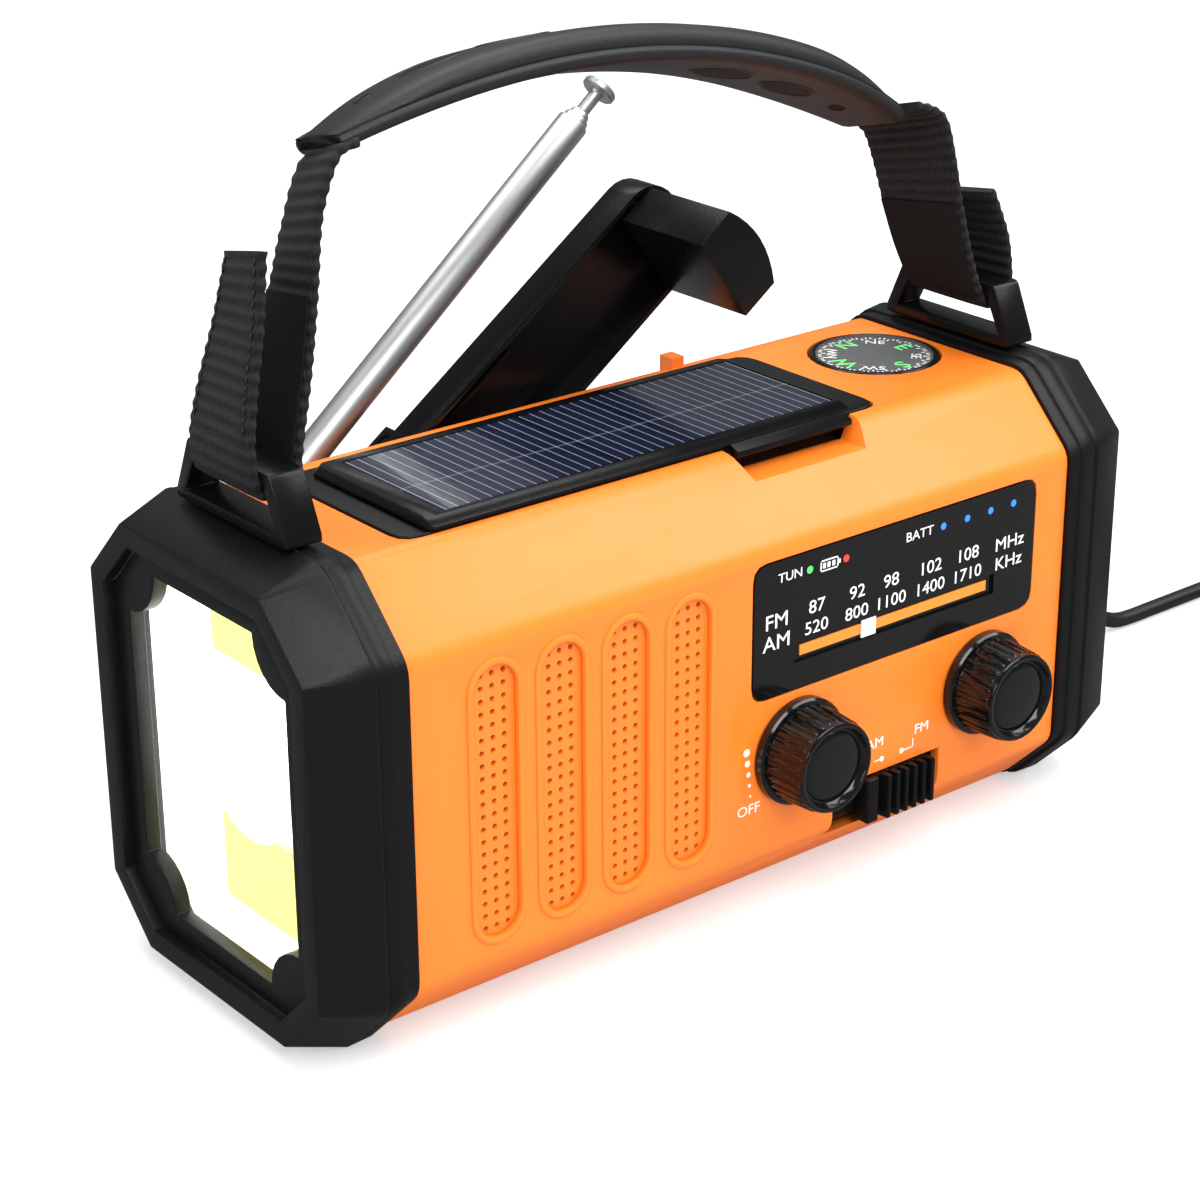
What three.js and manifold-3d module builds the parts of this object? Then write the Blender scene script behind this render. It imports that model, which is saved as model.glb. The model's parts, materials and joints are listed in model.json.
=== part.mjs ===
// Emergency radio: hand crank, solar lid, lamp end, compass, strap handle.
// Millimetres, +Z up. X runs along the radio from the lamp end (-X) to the port end (+X),
// -Y is the dial face, and the end caps rest on z = 0.
import * as THREE from 'three';
import { mergeVertices } from 'three/addons/utils/BufferGeometryUtils.js';
import Module from 'manifold-3d';

const wasm = await Module();
wasm.setup();

// ---- driving dimensions -------------------------------------------------
const HALF_LENGTH = 95;
const GAP = 0.3;
const WALL = 2.2;
const BODY = { halfLength: 77, halfDepth: 36, bottom: 1.6, top: 87.2, topChamfer: 13.4, bottomChamfer: 12 };
const RIDGE = { x: 84.4, inner: 80, halfDepth: 37.4, top: 89.1, chamfer: 14, bottomChamfer: 13.2 };
const FACE = { halfDepth: 33.1, bottom: 3.6, top: 85.3, topChamfer: 11.6, bottomChamfer: 11.2 };
const LIP = { halfDepth: 36.8, bottom: 0.8, top: 88 };
const SPLIT_Y = 22.3;

const LAMP = { ringWidth: 4, centreZ: 44.5, window: [24.3, 32.4], scallop: 9, lensX: -87.6, boardX: -79.6 };
const SLOT = { pitch: 14.1, firstX: -59.9, count: 4, width: 10.2, low: 18, high: 69.6 };
const SPEAKER = { x: -38.7, z: 43.8, radius: 25 };
const DIAL = { left: -3.1, right: 68.5, low: 45, high: 71, radius: 3.2, thickness: 1.3 };
const SCALE = { left: 8.8, right: 55.8, z: 52.2, share: 0.35 };
const VOLUME = { x: 7.9, z: 32.9 };
const TUNING = { x: 55.9, z: 32.5 };
const KNOB = { base: 10.4, face: 8.5, height: 10.9, bore: 3.3, shaft: 3 };
const BAND = { left: 17.5, right: 45.2, low: 10.5, high: 21.6, sliderLeft: 25.1, sliderRight: 42.2, ribs: 6 };
const BEZEL = { left: -66, right: 42, front: -19.8, back: 18.2, top: 87.5, radius: 4 };
const LID = { left: -61, right: 34.6, front: -20.4, back: 15.2, bottom: 87.8, top: 89.3 };
const NOTCH = { left: 2, right: 35, front: -27, floor: 82.8 };
const COMPASS = { x: 62.6, y: 2.8, radius: 12.3, depth: 7 };
const RECESS = { left: -73, right: 45, floor: 20.6, low: 54 };

const CRANK = {
  x: -40.5, z: 66, angle: 36, front: 22.9, back: 30.3, width: 21.8, start: 13, tip: 87.4, corner: 7, wall: 1,
};
const FLIP = { along: 16, y: 34.2 };
const GRIP_PIVOT = { along: 79.9, y: 24 };
const CRANK_GRIP = { width: 19.2, thickness: 8.6, bulge: 2.4, front: 0, back: 22.4 };
const GEAR = { module: 0.9, crankTeeth: 24, pinionTeeth: 12, wheelTeeth: 28, rotorTeeth: 8 };

const ANTENNA = { x: -66, y: 34, z: 68.8, angle: 40, tubeStart: 10, tubeEnd: 103, reach: 112.2 };
const TUBE_RADII = [3.4, 2.75, 2.15, 1.5];
const TILT = { along: 5.6, tongue: 1.7 };

const BRACKET = { inner: 79.5, outer: 86.3, foot: 17.5, crown: 12.3, low: 89.45, high: 101.2 };
const STRAP = { width: 20, thickness: 1.7, leftTop: 149, rightTop: 136.2 };
const HANDLE = { x: -3.8, z: 143.6, tilt: 6.5, halfChord: 62.6, rise: 12.6, width: 23, thickness: 6.8 };

// How much further the knobs stand out in front than the end caps do behind.
const FRONT_OVERHANG = 9.5;

const PORT = { y: 13, z: 26, hingeZ: 19.6, pocketX: 92.6 };
const CABLE = { radius: 1.75, turnRadius: 19, coilX: 207, coilY: -11, turnsWide: 3, turnsHigh: 2 };

// ---- materials ------------------------------------------------------------
const finish = (color, roughness, metalness = 0) => new THREE.MeshStandardMaterial({ color, roughness, metalness });
const ORANGE = finish(0xf98b2c, 0.45);
const CHARCOAL = finish(0x232426, 0.5);
const GLOSS_BLACK = finish(0x0c0c0e, 0.15);
const RUBBER = finish(0x2b2c2e, 0.75);
const WEBBING = finish(0x17181a, 0.9);
const STEEL = finish(0xc9ccd0, 0.2, 1);
const BRASS = finish(0xb59a58, 0.35, 1);
const WHITE = finish(0xf2f2ee, 0.5);
const CLEAR = finish(0xe8f0f4, 0.05);
const CHROME = finish(0xe6e8ea, 0.06, 1);
const YELLOW = finish(0xe9ee5a, 0.5);
const BOARD_GREEN = finish(0x1d6a3c, 0.6);
const SOLAR_BLUE = finish(0x10142a, 0.2);
const CELL_BLUE = finish(0x2d5fae, 0.5);
const FERRITE = finish(0x3a3a3c, 0.8);
const GEAR_WHITE = finish(0xe7e4d8, 0.6);

// ---- outlines ---------------------------------------------------------------
const rad = (degrees) => (degrees * Math.PI) / 180;

function box2(left, low, right, high) {
  return [[left, low], [right, low], [right, high], [left, high]];
}

function circle(x, y, radius, sides = 32) {
  return Array.from({ length: sides }, (_, i) => {
    const turn = (2 * Math.PI * i) / sides;
    return [x + radius * Math.cos(turn), y + radius * Math.sin(turn)];
  });
}

function octagon(halfDepth, low, high, topChamfer, bottomChamfer) {
  return [
    [halfDepth - bottomChamfer, low], [halfDepth, low + bottomChamfer],
    [halfDepth, high - topChamfer], [halfDepth - topChamfer, high],
    [-halfDepth + topChamfer, high], [-halfDepth, high - topChamfer],
    [-halfDepth, low + bottomChamfer], [-halfDepth + bottomChamfer, low],
  ];
}

// Rounds every corner of a polygon, with the same number of points at each corner.
function rounded(points, radius, steps = 3) {
  const result = [];
  points.forEach((corner, i) => {
    const at = new THREE.Vector2(...corner);
    const before = new THREE.Vector2(...points.at(i - 1)).sub(at);
    const after = new THREE.Vector2(...points[(i + 1) % points.length]).sub(at);
    const halfAngle = Math.abs(before.angleTo(after)) / 2;
    const reach = Math.min(radius / Math.tan(halfAngle), before.length() / 2.02, after.length() / 2.02);
    const start = at.clone().add(before.setLength(reach));
    const end = at.clone().add(after.setLength(reach));
    const curve = new THREE.QuadraticBezierCurve(start, at, end);
    curve.getPoints(steps - 1).forEach((p) => result.push([p.x, p.y]));
  });
  return result;
}

function stadium(x, low, high, width, steps = 10) {
  const radius = width / 2;
  const points = [];
  for (let i = 0; i <= steps; i++) {
    const turn = (Math.PI * i) / steps;
    points.push([x + radius * Math.cos(turn), high - radius + radius * Math.sin(turn)]);
  }
  for (let i = 0; i <= steps; i++) {
    const turn = Math.PI + (Math.PI * i) / steps;
    points.push([x + radius * Math.cos(turn), low + radius + radius * Math.sin(turn)]);
  }
  return points;
}

// ---- solids -----------------------------------------------------------------
const FRAMES = {
  x: new THREE.Matrix4().makeBasis(
    new THREE.Vector3(0, 1, 0), new THREE.Vector3(0, 0, 1), new THREE.Vector3(1, 0, 0)),
  y: new THREE.Matrix4().makeBasis(
    new THREE.Vector3(1, 0, 0), new THREE.Vector3(0, 0, 1), new THREE.Vector3(0, -1, 0)),
  z: new THREE.Matrix4(),
};

// Extrudes an outline between two stations on an axis. Outlines are (y, z) for x, (x, z) for y
// and (x, y) for z.
function prism(axis, outline, from, to, holes = []) {
  const [shape, ...inner] = [outline, ...holes].map((loop) => {
    const points = loop.map(([u, v]) => new THREE.Vector2(u, v));
    return new THREE.Shape(THREE.ShapeUtils.isClockWise(points) ? points.reverse() : points);
  });
  shape.holes.push(...inner);
  const geometry = new THREE.ExtrudeGeometry(shape, { depth: to - from, bevelEnabled: false });
  geometry.applyMatrix4(FRAMES[axis]);
  const start = { x: [from, 0, 0], y: [0, to, 0], z: [0, 0, from] }[axis];
  return geometry.translate(...start);
}

function block(low, high) {
  const geometry = new THREE.BoxGeometry(...high.map((value, i) => value - low[i]));
  return geometry.translate(...high.map((value, i) => (value + low[i]) / 2));
}

function signedVolume(geometry) {
  const position = geometry.attributes.position;
  const index = geometry.index;
  const corners = [new THREE.Vector3(), new THREE.Vector3(), new THREE.Vector3()];
  let volume = 0;
  for (let i = 0; i < index.count; i += 3) {
    corners.forEach((corner, k) => corner.fromBufferAttribute(position, index.getX(i + k)));
    volume += corners[0].dot(corners[1].cross(corners[2])) / 6;
  }
  return volume;
}

// Merges shared corners, drops flat triangles and turns the faces outwards.
function closed(geometry) {
  const bare = geometry.index ? geometry.toNonIndexed() : geometry.clone();
  bare.deleteAttribute('normal');
  bare.deleteAttribute('uv');
  const merged = mergeVertices(bare, 1e-4);
  const kept = [];
  for (let i = 0; i < merged.index.count; i += 3) {
    const [a, b, c] = [0, 1, 2].map((k) => merged.index.getX(i + k));
    if (a !== b && b !== c && c !== a) kept.push(a, b, c);
  }
  merged.setIndex(kept);
  if (signedVolume(merged) < 0) {
    for (let i = 0; i < kept.length; i += 3) [kept[i], kept[i + 1]] = [kept[i + 1], kept[i]];
    merged.setIndex(kept);
  }
  return merged;
}

// A lathe about the Y axis: points are (radius, y), starting and ending on the axis or closing.
function turned(profile, x = 0, z = 0, sides = 32) {
  const points = profile.map(([radius, height]) => new THREE.Vector2(radius, height));
  return closed(new THREE.LatheGeometry(points, sides)).translate(x, 0, z);
}

// Skins matching rings of points, in order, and closes both ends, which are convex.
function loft(rings) {
  const count = rings[0].length;
  const points = rings.flat();
  const faces = [];
  for (let r = 0; r + 1 < rings.length; r++) {
    for (let i = 0; i < count; i++) {
      const a = r * count + i;
      const b = r * count + ((i + 1) % count);
      faces.push(a, b, b + count, a, b + count, a + count);
    }
  }
  const last = (rings.length - 1) * count;
  for (let i = 1; i + 1 < count; i++) {
    faces.push(0, i + 1, i, last, last + i, last + i + 1);
  }
  const geometry = new THREE.BufferGeometry().setFromPoints(points.map((p) => new THREE.Vector3(...p)));
  geometry.setIndex(faces);
  return closed(geometry);
}

function manifold(geometry) {
  const merged = closed(geometry);
  return new wasm.Manifold(new wasm.Mesh({
    numProp: 3,
    vertProperties: new Float32Array(merged.attributes.position.array),
    triVerts: new Uint32Array(merged.index.array),
  }));
}

function geometryOf(solid) {
  const mesh = solid.getMesh();
  const geometry = new THREE.BufferGeometry();
  geometry.setAttribute('position', new THREE.BufferAttribute(new Float32Array(mesh.vertProperties), 3));
  geometry.setIndex(new THREE.BufferAttribute(new Uint32Array(mesh.triVerts), 1));
  return geometry;
}

const combine = (method, first, rest) =>
  geometryOf(rest.reduce((solid, next) => solid[method](manifold(next)), manifold(first)));
const join = (first, ...rest) => combine('add', first, rest);
const cut = (first, ...rest) => combine('subtract', first, rest);
const common = (first, ...rest) => combine('intersect', first, rest);

const radio = new THREE.Group();

function add(name, geometry, material, parent = radio) {
  const mesh = new THREE.Mesh(geometry, material);
  mesh.name = name;
  parent.add(mesh);
  return mesh;
}

// ---- housing ------------------------------------------------------------------
const bodyOutline = (inset) => rounded(
  octagon(BODY.halfDepth - inset, BODY.bottom + inset, BODY.top - inset,
    BODY.topChamfer - inset * 0.6, BODY.bottomChamfer - inset * 0.6), 5 - inset, 4);

function slotOutline(i, margin) {
  const x = SLOT.firstX + i * SLOT.pitch;
  return stadium(x, SLOT.low - margin, SLOT.high + margin, SLOT.width + 2 * margin);
}

function frontShell() {
  const inside = BODY.halfLength + 1;
  const tube = cut(
    prism('x', bodyOutline(0), -BODY.halfLength, BODY.halfLength),
    prism('x', bodyOutline(WALL), -inside, inside),
    block([-inside, SPLIT_Y, -5], [inside, 60, 120]),
  );
  const notchBlock = common(
    block([NOTCH.left - 2, NOTCH.front - 1.5, NOTCH.floor - 2], [NOTCH.right + 2, BEZEL.front + 1.9, 86.1]),
    prism('x', bodyOutline(0), NOTCH.left - 3, NOTCH.right + 3),
  );
  const peg = block([26, SPLIT_Y - 1.5, 85.4], [29, SPLIT_Y + 2.2, 89.2]);
  const solid = join(tube, notchBlock, peg);
  const notchEnds = [[NOTCH.left, 89], [NOTCH.left + 3, NOTCH.floor], [NOTCH.right - 3, NOTCH.floor], [NOTCH.right, 89]];
  const openings = [
    prism('z', rounded(box2(BEZEL.left - GAP, BEZEL.front - GAP, BEZEL.right + GAP, BEZEL.back + GAP), BEZEL.radius, 4),
      82, 90),
    prism('z', circle(COMPASS.x, COMPASS.y, COMPASS.radius + 0.9), 80, 90),
    prism('y', rounded(box2(DIAL.left - GAP, DIAL.low - GAP, DIAL.right + GAP, DIAL.high + GAP), DIAL.radius, 4),
      -40, -BODY.halfDepth + DIAL.thickness),
    prism('y', circle(VOLUME.x, VOLUME.z, 3.6, 20), -40, -30),
    prism('y', circle(TUNING.x, TUNING.z, 3.6, 20), -40, -30),
    block([BAND.left, -40, BAND.low], [BAND.right, -27, BAND.high]),
    prism('y', notchEnds, NOTCH.front, -18),
  ];
  for (let i = 0; i < SLOT.count; i++) openings.push(prism('y', slotOutline(i, 0), -40, -30));
  return cut(solid, ...openings);
}

function rearCover() {
  const behind = block([-100, SPLIT_Y + GAP, -5], [100, 60, 120]);
  const inside = BODY.halfLength + 1;
  const skin = common(cut(
    prism('x', bodyOutline(0), -BODY.halfLength, BODY.halfLength),
    prism('x', bodyOutline(WALL), -inside, inside),
  ), behind);
  const tub = common(
    prism('x', bodyOutline(0), RECESS.left - 2, RECESS.right + 6),
    block([-100, SPLIT_Y + GAP, RECESS.low - 2], [100, 60, 120]),
  );
  const floor = block([RECESS.left - 2, RECESS.floor - 1.8, RECESS.low - 2], [RECESS.right + 6, SPLIT_Y + 1, 84]);
  return cut(
    join(skin, tub, floor),
    block([RECESS.left, RECESS.floor, RECESS.low], [RECESS.right, 60, 120]),
    block([RECESS.left, RECESS.floor + 9, ANTENNA.z - 4.6], [RECESS.right + 4, 60, ANTENNA.z + 4.6]),
    prism('y', circle(CRANK.x, CRANK.z, 3.6, 20), 10, 30),
  );
}

function capRings(side, station) {
  return station.outline.map(([y, z]) => [side * station.x, y, z]);
}

function capSkin(side) {
  const stations = [
    { x: HALF_LENGTH, outline: rounded(
      octagon(FACE.halfDepth, FACE.bottom, FACE.top, FACE.topChamfer, FACE.bottomChamfer), 1, 4) },
    { x: RIDGE.x, outline: rounded(
      octagon(RIDGE.halfDepth, 0, RIDGE.top, RIDGE.chamfer, RIDGE.bottomChamfer), 6.5, 4) },
    { x: RIDGE.inner, outline: rounded(
      octagon(RIDGE.halfDepth - 0.3, 0, RIDGE.top - 0.5, RIDGE.chamfer, RIDGE.bottomChamfer), 6.5, 4) },
    { x: RIDGE.inner - 0.15, outline: rounded(
      octagon(LIP.halfDepth, LIP.bottom, LIP.top, RIDGE.chamfer, RIDGE.bottomChamfer), 6, 4) },
    { x: BODY.halfLength + GAP, outline: rounded(
      octagon(LIP.halfDepth, LIP.bottom, LIP.top, RIDGE.chamfer, RIDGE.bottomChamfer), 6, 4) },
  ];
  return loft(stations.map((station) => capRings(side, station)));
}

const capInside = (inset) => octagon(FACE.halfDepth - inset, FACE.bottom + inset, FACE.top - inset,
  FACE.topChamfer - inset * 0.6, FACE.bottomChamfer - inset * 0.6);

function leftCap() {
  return cut(
    capSkin(-1),
    prism('x', capInside(LAMP.ringWidth), -100, -70),
    prism('x', capInside(1.6), -92.4, -70),
  );
}

function rightCap() {
  const ports = [
    block([80, PORT.y - 7.2, PORT.z - 3.4], [100, PORT.y + 7.2, PORT.z + 3.4]),
    block([PORT.pocketX, PORT.y - 12, 8.6], [100, PORT.y + 12, PORT.z + 7]),
    prism('x', circle(-10, 60, 5.4, 24), 80, 100),
    prism('x', circle(10, 60, 5.4, 24), 80, 100),
  ];
  return cut(capSkin(1), prism('x', capInside(1.6), 70, 91.2), ...ports);
}

add('front_shell', frontShell(), ORANGE);
add('rear_cover', rearCover(), ORANGE);
add('left_cap', leftCap(), CHARCOAL);
add('right_cap', rightCap(), CHARCOAL);

// ---- lamp end -------------------------------------------------------------------
function scalloped(halfWidth, halfHeight, radius, steps = 6) {
  const points = [];
  [[1, 1], [-1, 1], [-1, -1], [1, -1]].forEach(([sy, sz], k) => {
    const first = [Math.PI, 1.5 * Math.PI, 0, 0.5 * Math.PI][k] + Math.PI / 2;
    for (let i = 0; i <= steps; i++) {
      const turn = first - (Math.PI / 2) * (i / steps);
      points.push([sy * halfWidth + radius * Math.cos(turn),
        LAMP.centreZ + sz * halfHeight + radius * Math.sin(turn)]);
    }
  });
  return points;
}

const windowOutline = scalloped(LAMP.window[0], LAMP.window[1], LAMP.scallop);
add('lamp_frame', prism('x', capInside(LAMP.ringWidth + GAP), -93, -89.9, [windowOutline]), CHARCOAL);
add('lamp_lens', prism('x', capInside(1.6 + GAP + 1), -89.6, LAMP.lensX), CLEAR);
const boardSolid = prism('x', capInside(1.6 + GAP + 1), LAMP.boardX, LAMP.boardX + 1.6);
add('lamp_board', boardSolid, WHITE);
[['upper', 1], ['lower', -1]].forEach(([label, side]) => {
  const middle = LAMP.centreZ + side * 24.2;
  add(`cob_panel_${label}`, prism('x', rounded(box2(-17, middle - 8.6, 17, middle + 8.6), 1.2), -81.3, -79.9), YELLOW);
});
const reflector = turned([[4, 0], [6, 0.6], [9.6, 2.8], [12.4, 5.6], [13.4, 5.6], [12.2, 3.2], [6.8, -0.2 + 0.1],
  [4, -0.1], [4, 0]].map(([r, h]) => [r, h]), 0, 0, 32);
reflector.rotateZ(Math.PI / 2).translate(LAMP.boardX - 0.9, 0, LAMP.centreZ);
add('lamp_reflector', reflector, CHROME);

// ---- speaker ------------------------------------------------------------------------
const grillePlate = block([-66.5, -33.4, SLOT.low - 1.5], [-10.8, -32.2, SLOT.high + 1.5]);
const grilleSlots = Array.from({ length: SLOT.count }, (_, i) => prism('y', slotOutline(i, -GAP), -35.3, -32.8));
add('speaker_grille', join(grillePlate, ...grilleSlots), ORANGE);
add('speaker_driver', turned([[0, -31.9], [SPEAKER.radius, -31.9], [SPEAKER.radius, -30], [14, -20], [14, -12], [0, -12]],
  SPEAKER.x, SPEAKER.z), CHARCOAL);

// ---- dial and controls ------------------------------------------------------------------
const pointerX = SCALE.left + SCALE.share * (SCALE.right - SCALE.left);
const dialBack = -BODY.halfDepth + DIAL.thickness - GAP;
const dialFront = -BODY.halfDepth - 0.1;
add('dial_window', cut(
  prism('y', rounded(box2(DIAL.left, DIAL.low, DIAL.right, DIAL.high), DIAL.radius, 4), dialFront, dialBack),
  block([SCALE.left - 2.2, -40, SCALE.z - 2], [SCALE.right + 2.2, dialFront + 0.6, SCALE.z + 2]),
), GLOSS_BLACK);
add('tuning_pointer', block([pointerX - 1.8, dialFront + 0.05, SCALE.z - 1.7], [pointerX + 1.8, dialFront + 0.3,
  SCALE.z + 1.7]), WHITE);

function knob({ x, z }) {
  const root = -BODY.halfDepth - GAP;
  const face = -BODY.halfDepth - KNOB.height;
  return turned([
    [0, face], [KNOB.face - 0.9, face + 0.2], [KNOB.face, face + 1],
    [KNOB.base - 0.7, root - 1.6], [KNOB.base, root - 1.4], [KNOB.base, root],
    [KNOB.bore, root], [KNOB.bore, face + 2.4], [0, face + 2.4],
  ], x, z, 36);
}

function shafted(low, high, { x, z }) {
  const shaft = prism('y', circle(x, z, KNOB.shaft, 20), -BODY.halfDepth - KNOB.height + 2.8, low[1] + 1);
  return join(block(low, high), shaft);
}

add('volume_knob', knob(VOLUME), GLOSS_BLACK);
add('volume_pot', shafted([VOLUME.x - 8, -33.2, VOLUME.z - 8], [VOLUME.x + 8, -24, VOLUME.z + 8], VOLUME), STEEL);
add('tuning_knob', knob(TUNING), GLOSS_BLACK);
add('tuning_capacitor', shafted([TUNING.x - 10, -33.2, TUNING.z - 10], [TUNING.x + 10, -18, TUNING.z + 10], TUNING), WHITE);

const switchProfile = [[-33.5, BAND.high - GAP], [-33.5, 13.8], [-30.6, 11], [-26, 11], [-26, BAND.high - GAP]];
add('band_switch_body', prism('x', switchProfile, BAND.left + GAP, BAND.right - GAP), CHARCOAL);

function sliderComb() {
  const back = -33.8;
  const web = -35.9;
  const crest = -38.3;
  const ribStart = BAND.sliderLeft + 3.4;
  const pitch = (BAND.sliderRight - ribStart) / BAND.ribs;
  const points = [[BAND.sliderLeft, back], [BAND.sliderLeft, crest + 0.7], [ribStart - 0.6, crest + 0.7]];
  for (let i = 0; i < BAND.ribs; i++) {
    const x = ribStart + i * pitch;
    points.push([x, web], [x + pitch * 0.4, web], [x + pitch * 0.55, crest], [x + pitch - 0.1, crest]);
  }
  points.push([BAND.sliderRight, back]);
  return points;
}
add('band_slider', prism('z', sliderComb(), 12.2, BAND.high - 0.4), GLOSS_BLACK);

// ---- electronics ---------------------------------------------------------------------------
add('main_board', block([-8, 0, 44.5], [74, 1.6, 79]), BOARD_GREEN);
const CELL = { radius: 9.2, length: 65 };
[[-2.2, 15], [17.4, 15], [-2.2, 34.4], [17.4, 34.4]].forEach(([y, z], i) => {
  add(`battery_cell_${i + 1}`, prism('x', circle(y, z, CELL.radius, 20), 0, CELL.length), CELL_BLUE);
});
add('battery_tray', cut(
  common(block([-2.4, -13.2, 3.6], [67.4, 28.4, 20]), prism('x', bodyOutline(WALL + 0.5), -10, 75)),
  common(block([-0.4, -11.8, 5], [65.4, 27, 30]), prism('x', bodyOutline(WALL + 1.7), -10, 75)),
), CHARCOAL);
add('ferrite_rod', prism('x', circle(-10, 76, 4, 16), -6, 44), FERRITE);
add('ferrite_coil', prism('x', circle(-10, 76, 5.4, 20), 8, 26, [circle(-10, 76, 4.3, 16)]), BRASS);

// ---- crank drive ------------------------------------------------------------------------------
function gearOutline(x, z, teeth, phase = 0) {
  const pitchRadius = (GEAR.module * teeth) / 2;
  const tip = pitchRadius + 0.66 * GEAR.module;
  const root = pitchRadius - 1.1 * GEAR.module;
  const points = [];
  for (let i = 0; i < teeth; i++) {
    [[-0.29, root], [-0.09, tip], [0.09, tip], [0.29, root]].forEach(([share, radius]) => {
      const turn = (2 * Math.PI * (i + share)) / teeth + phase;
      points.push([x + radius * Math.cos(turn), z + radius * Math.sin(turn)]);
    });
  }
  return points;
}

const meshDistance = (a, b) => (GEAR.module * (a + b)) / 2;
const idlerReach = meshDistance(GEAR.crankTeeth, GEAR.pinionTeeth);
const idler = { x: CRANK.x - idlerReach * Math.sin(rad(30)), z: CRANK.z - idlerReach * Math.cos(rad(30)) };
const rotorReach = meshDistance(GEAR.wheelTeeth, GEAR.rotorTeeth);
const rotor = { x: idler.x + rotorReach * Math.cos(rad(60)), z: idler.z - rotorReach * Math.sin(rad(60)) };

// Turns a gear so that a tooth gap faces the direction of its mate.
const gapFacing = (direction, teeth) => direction + Math.PI / teeth;
const towardsIdler = Math.atan2(idler.z - CRANK.z, idler.x - CRANK.x);
const towardsRotor = Math.atan2(rotor.z - idler.z, rotor.x - idler.x);

add('crank_gear', join(
  prism('y', gearOutline(CRANK.x, CRANK.z, GEAR.crankTeeth, towardsIdler), 12, 15.5),
  prism('y', circle(CRANK.x, CRANK.z, 3, 20), 9, 29.6),
), GEAR_WHITE);
add('idler_gear', join(
  prism('y', gearOutline(idler.x, idler.z, GEAR.pinionTeeth, gapFacing(towardsIdler + Math.PI, GEAR.pinionTeeth)),
    11.5, 16),
  prism('y', gearOutline(idler.x, idler.z, GEAR.wheelTeeth, towardsRotor), 8, 11.6),
), GEAR_WHITE);
add('rotor_pinion', join(
  prism('y', gearOutline(rotor.x, rotor.z, GEAR.rotorTeeth, gapFacing(towardsRotor + Math.PI, GEAR.rotorTeeth)), 7.5, 12),
  prism('y', circle(rotor.x, rotor.z, 1.5, 12), 2.4, 8),
), BRASS);
add('generator_body', cut(
  prism('y', circle(rotor.x, rotor.z, 12, 28), -9, 6.5),
  prism('y', circle(rotor.x, rotor.z, 1.9, 12), 2, 8),
), STEEL);

// ---- crank: x runs along the arm, z across it -----------------------------------------------------
const crank = new THREE.Group();
crank.position.set(CRANK.x, 0, CRANK.z);
crank.rotation.y = -rad(CRANK.angle);
radio.add(crank);

const neckRadius = 3.2;
const hubDisc = prism('y', circle(0, 0, 9, 32), RECESS.floor + GAP, FLIP.y + neckRadius);
const neck = common(
  block([0, FLIP.y - neckRadius, -4], [FLIP.along + 10, FLIP.y + neckRadius, 4]),
  join(
    prism('z', circle(FLIP.along, FLIP.y, neckRadius, 24), -4, 4),
    block([0, FLIP.y - neckRadius, -4], [FLIP.along, FLIP.y + neckRadius, 4]),
  ),
);
const flipPin = prism('z', circle(FLIP.along, FLIP.y, 1.3, 12), -7.9, 7.9);
add('crank_hub', cut(
  join(hubDisc, neck, flipPin),
  prism('y', circle(0, 0, 3.3, 20), 15, 30),
), GLOSS_BLACK, crank);

function armOutline(inset) {
  const half = CRANK.width / 2 - inset;
  const radius = CRANK.corner - inset;
  const tip = CRANK.tip - inset;
  const points = [[CRANK.start + inset, -half]];
  [-1, 1].forEach((side) => {
    for (let i = 0; i <= 6; i++) {
      const turn = (Math.PI / 12) * (side < 0 ? i - 6 : i);
      points.push([tip - radius + radius * Math.cos(turn), side * (half - radius) + radius * Math.sin(turn)]);
    }
  });
  points.push([CRANK.start + inset, half]);
  return points;
}

function crankArm() {
  const ear = (side) => block(
    [CRANK.start, CRANK.back - 1, Math.min(side * 4.4, side * 8)],
    [CRANK.start + 6, FLIP.y + 2.8, Math.max(side * 4.4, side * 8)],
  );
  const shell = cut(
    prism('y', armOutline(0), CRANK.front, CRANK.back),
    prism('y', armOutline(CRANK.wall), CRANK.front - 1, CRANK.back - 1.4),
  );
  const pivotPin = prism('z', circle(GRIP_PIVOT.along, GRIP_PIVOT.y, 1.2, 12), -10.2, 10.2);
  const rib = (z) => block([20, CRANK.back - 3, z - 0.5], [44, CRANK.back - 1.2, z + 0.5]);
  return cut(
    join(shell, ear(1), ear(-1), pivotPin, rib(5.2), rib(-5.2)),
    prism('z', circle(FLIP.along, FLIP.y, 1.6, 16), -12, 12),
  );
}
add('crank_arm', crankArm(), GLOSS_BLACK, crank);

function crankGrip() {
  const near = GRIP_PIVOT.along - CRANK_GRIP.thickness / 2;
  const far = GRIP_PIVOT.along + CRANK_GRIP.thickness / 2;
  const half = CRANK_GRIP.width / 2;
  const section = [[near, -half], [far, -half]];
  for (let i = 1; i < 8; i++) {
    const z = -half + (CRANK_GRIP.width * i) / 8;
    section.push([far + CRANK_GRIP.bulge * (1 - (z / half) ** 2), z]);
  }
  section.push([far, half], [near, half]);
  const tongue = join(
    block([GRIP_PIVOT.along - 2.6, GRIP_PIVOT.y - 1, -6], [GRIP_PIVOT.along + 2.6, GRIP_PIVOT.y + 2.6, 6]),
    block([GRIP_PIVOT.along - 3.2, CRANK_GRIP.back - 2, -6], [GRIP_PIVOT.along + 3.2, GRIP_PIVOT.y, 6]),
  );
  return cut(
    join(prism('y', section, CRANK_GRIP.front, CRANK_GRIP.back), tongue),
    prism('z', circle(GRIP_PIVOT.along, GRIP_PIVOT.y, 1.5, 12), -12, 12),
  );
}
add('crank_grip', crankGrip(), GLOSS_BLACK, crank);

// ---- antenna: x runs along it ---------------------------------------------------------------------
const antenna = new THREE.Group();
antenna.position.set(ANTENNA.x, ANTENNA.y, ANTENNA.z);
antenna.rotation.y = -rad(ANTENNA.angle);
radio.add(antenna);

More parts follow.
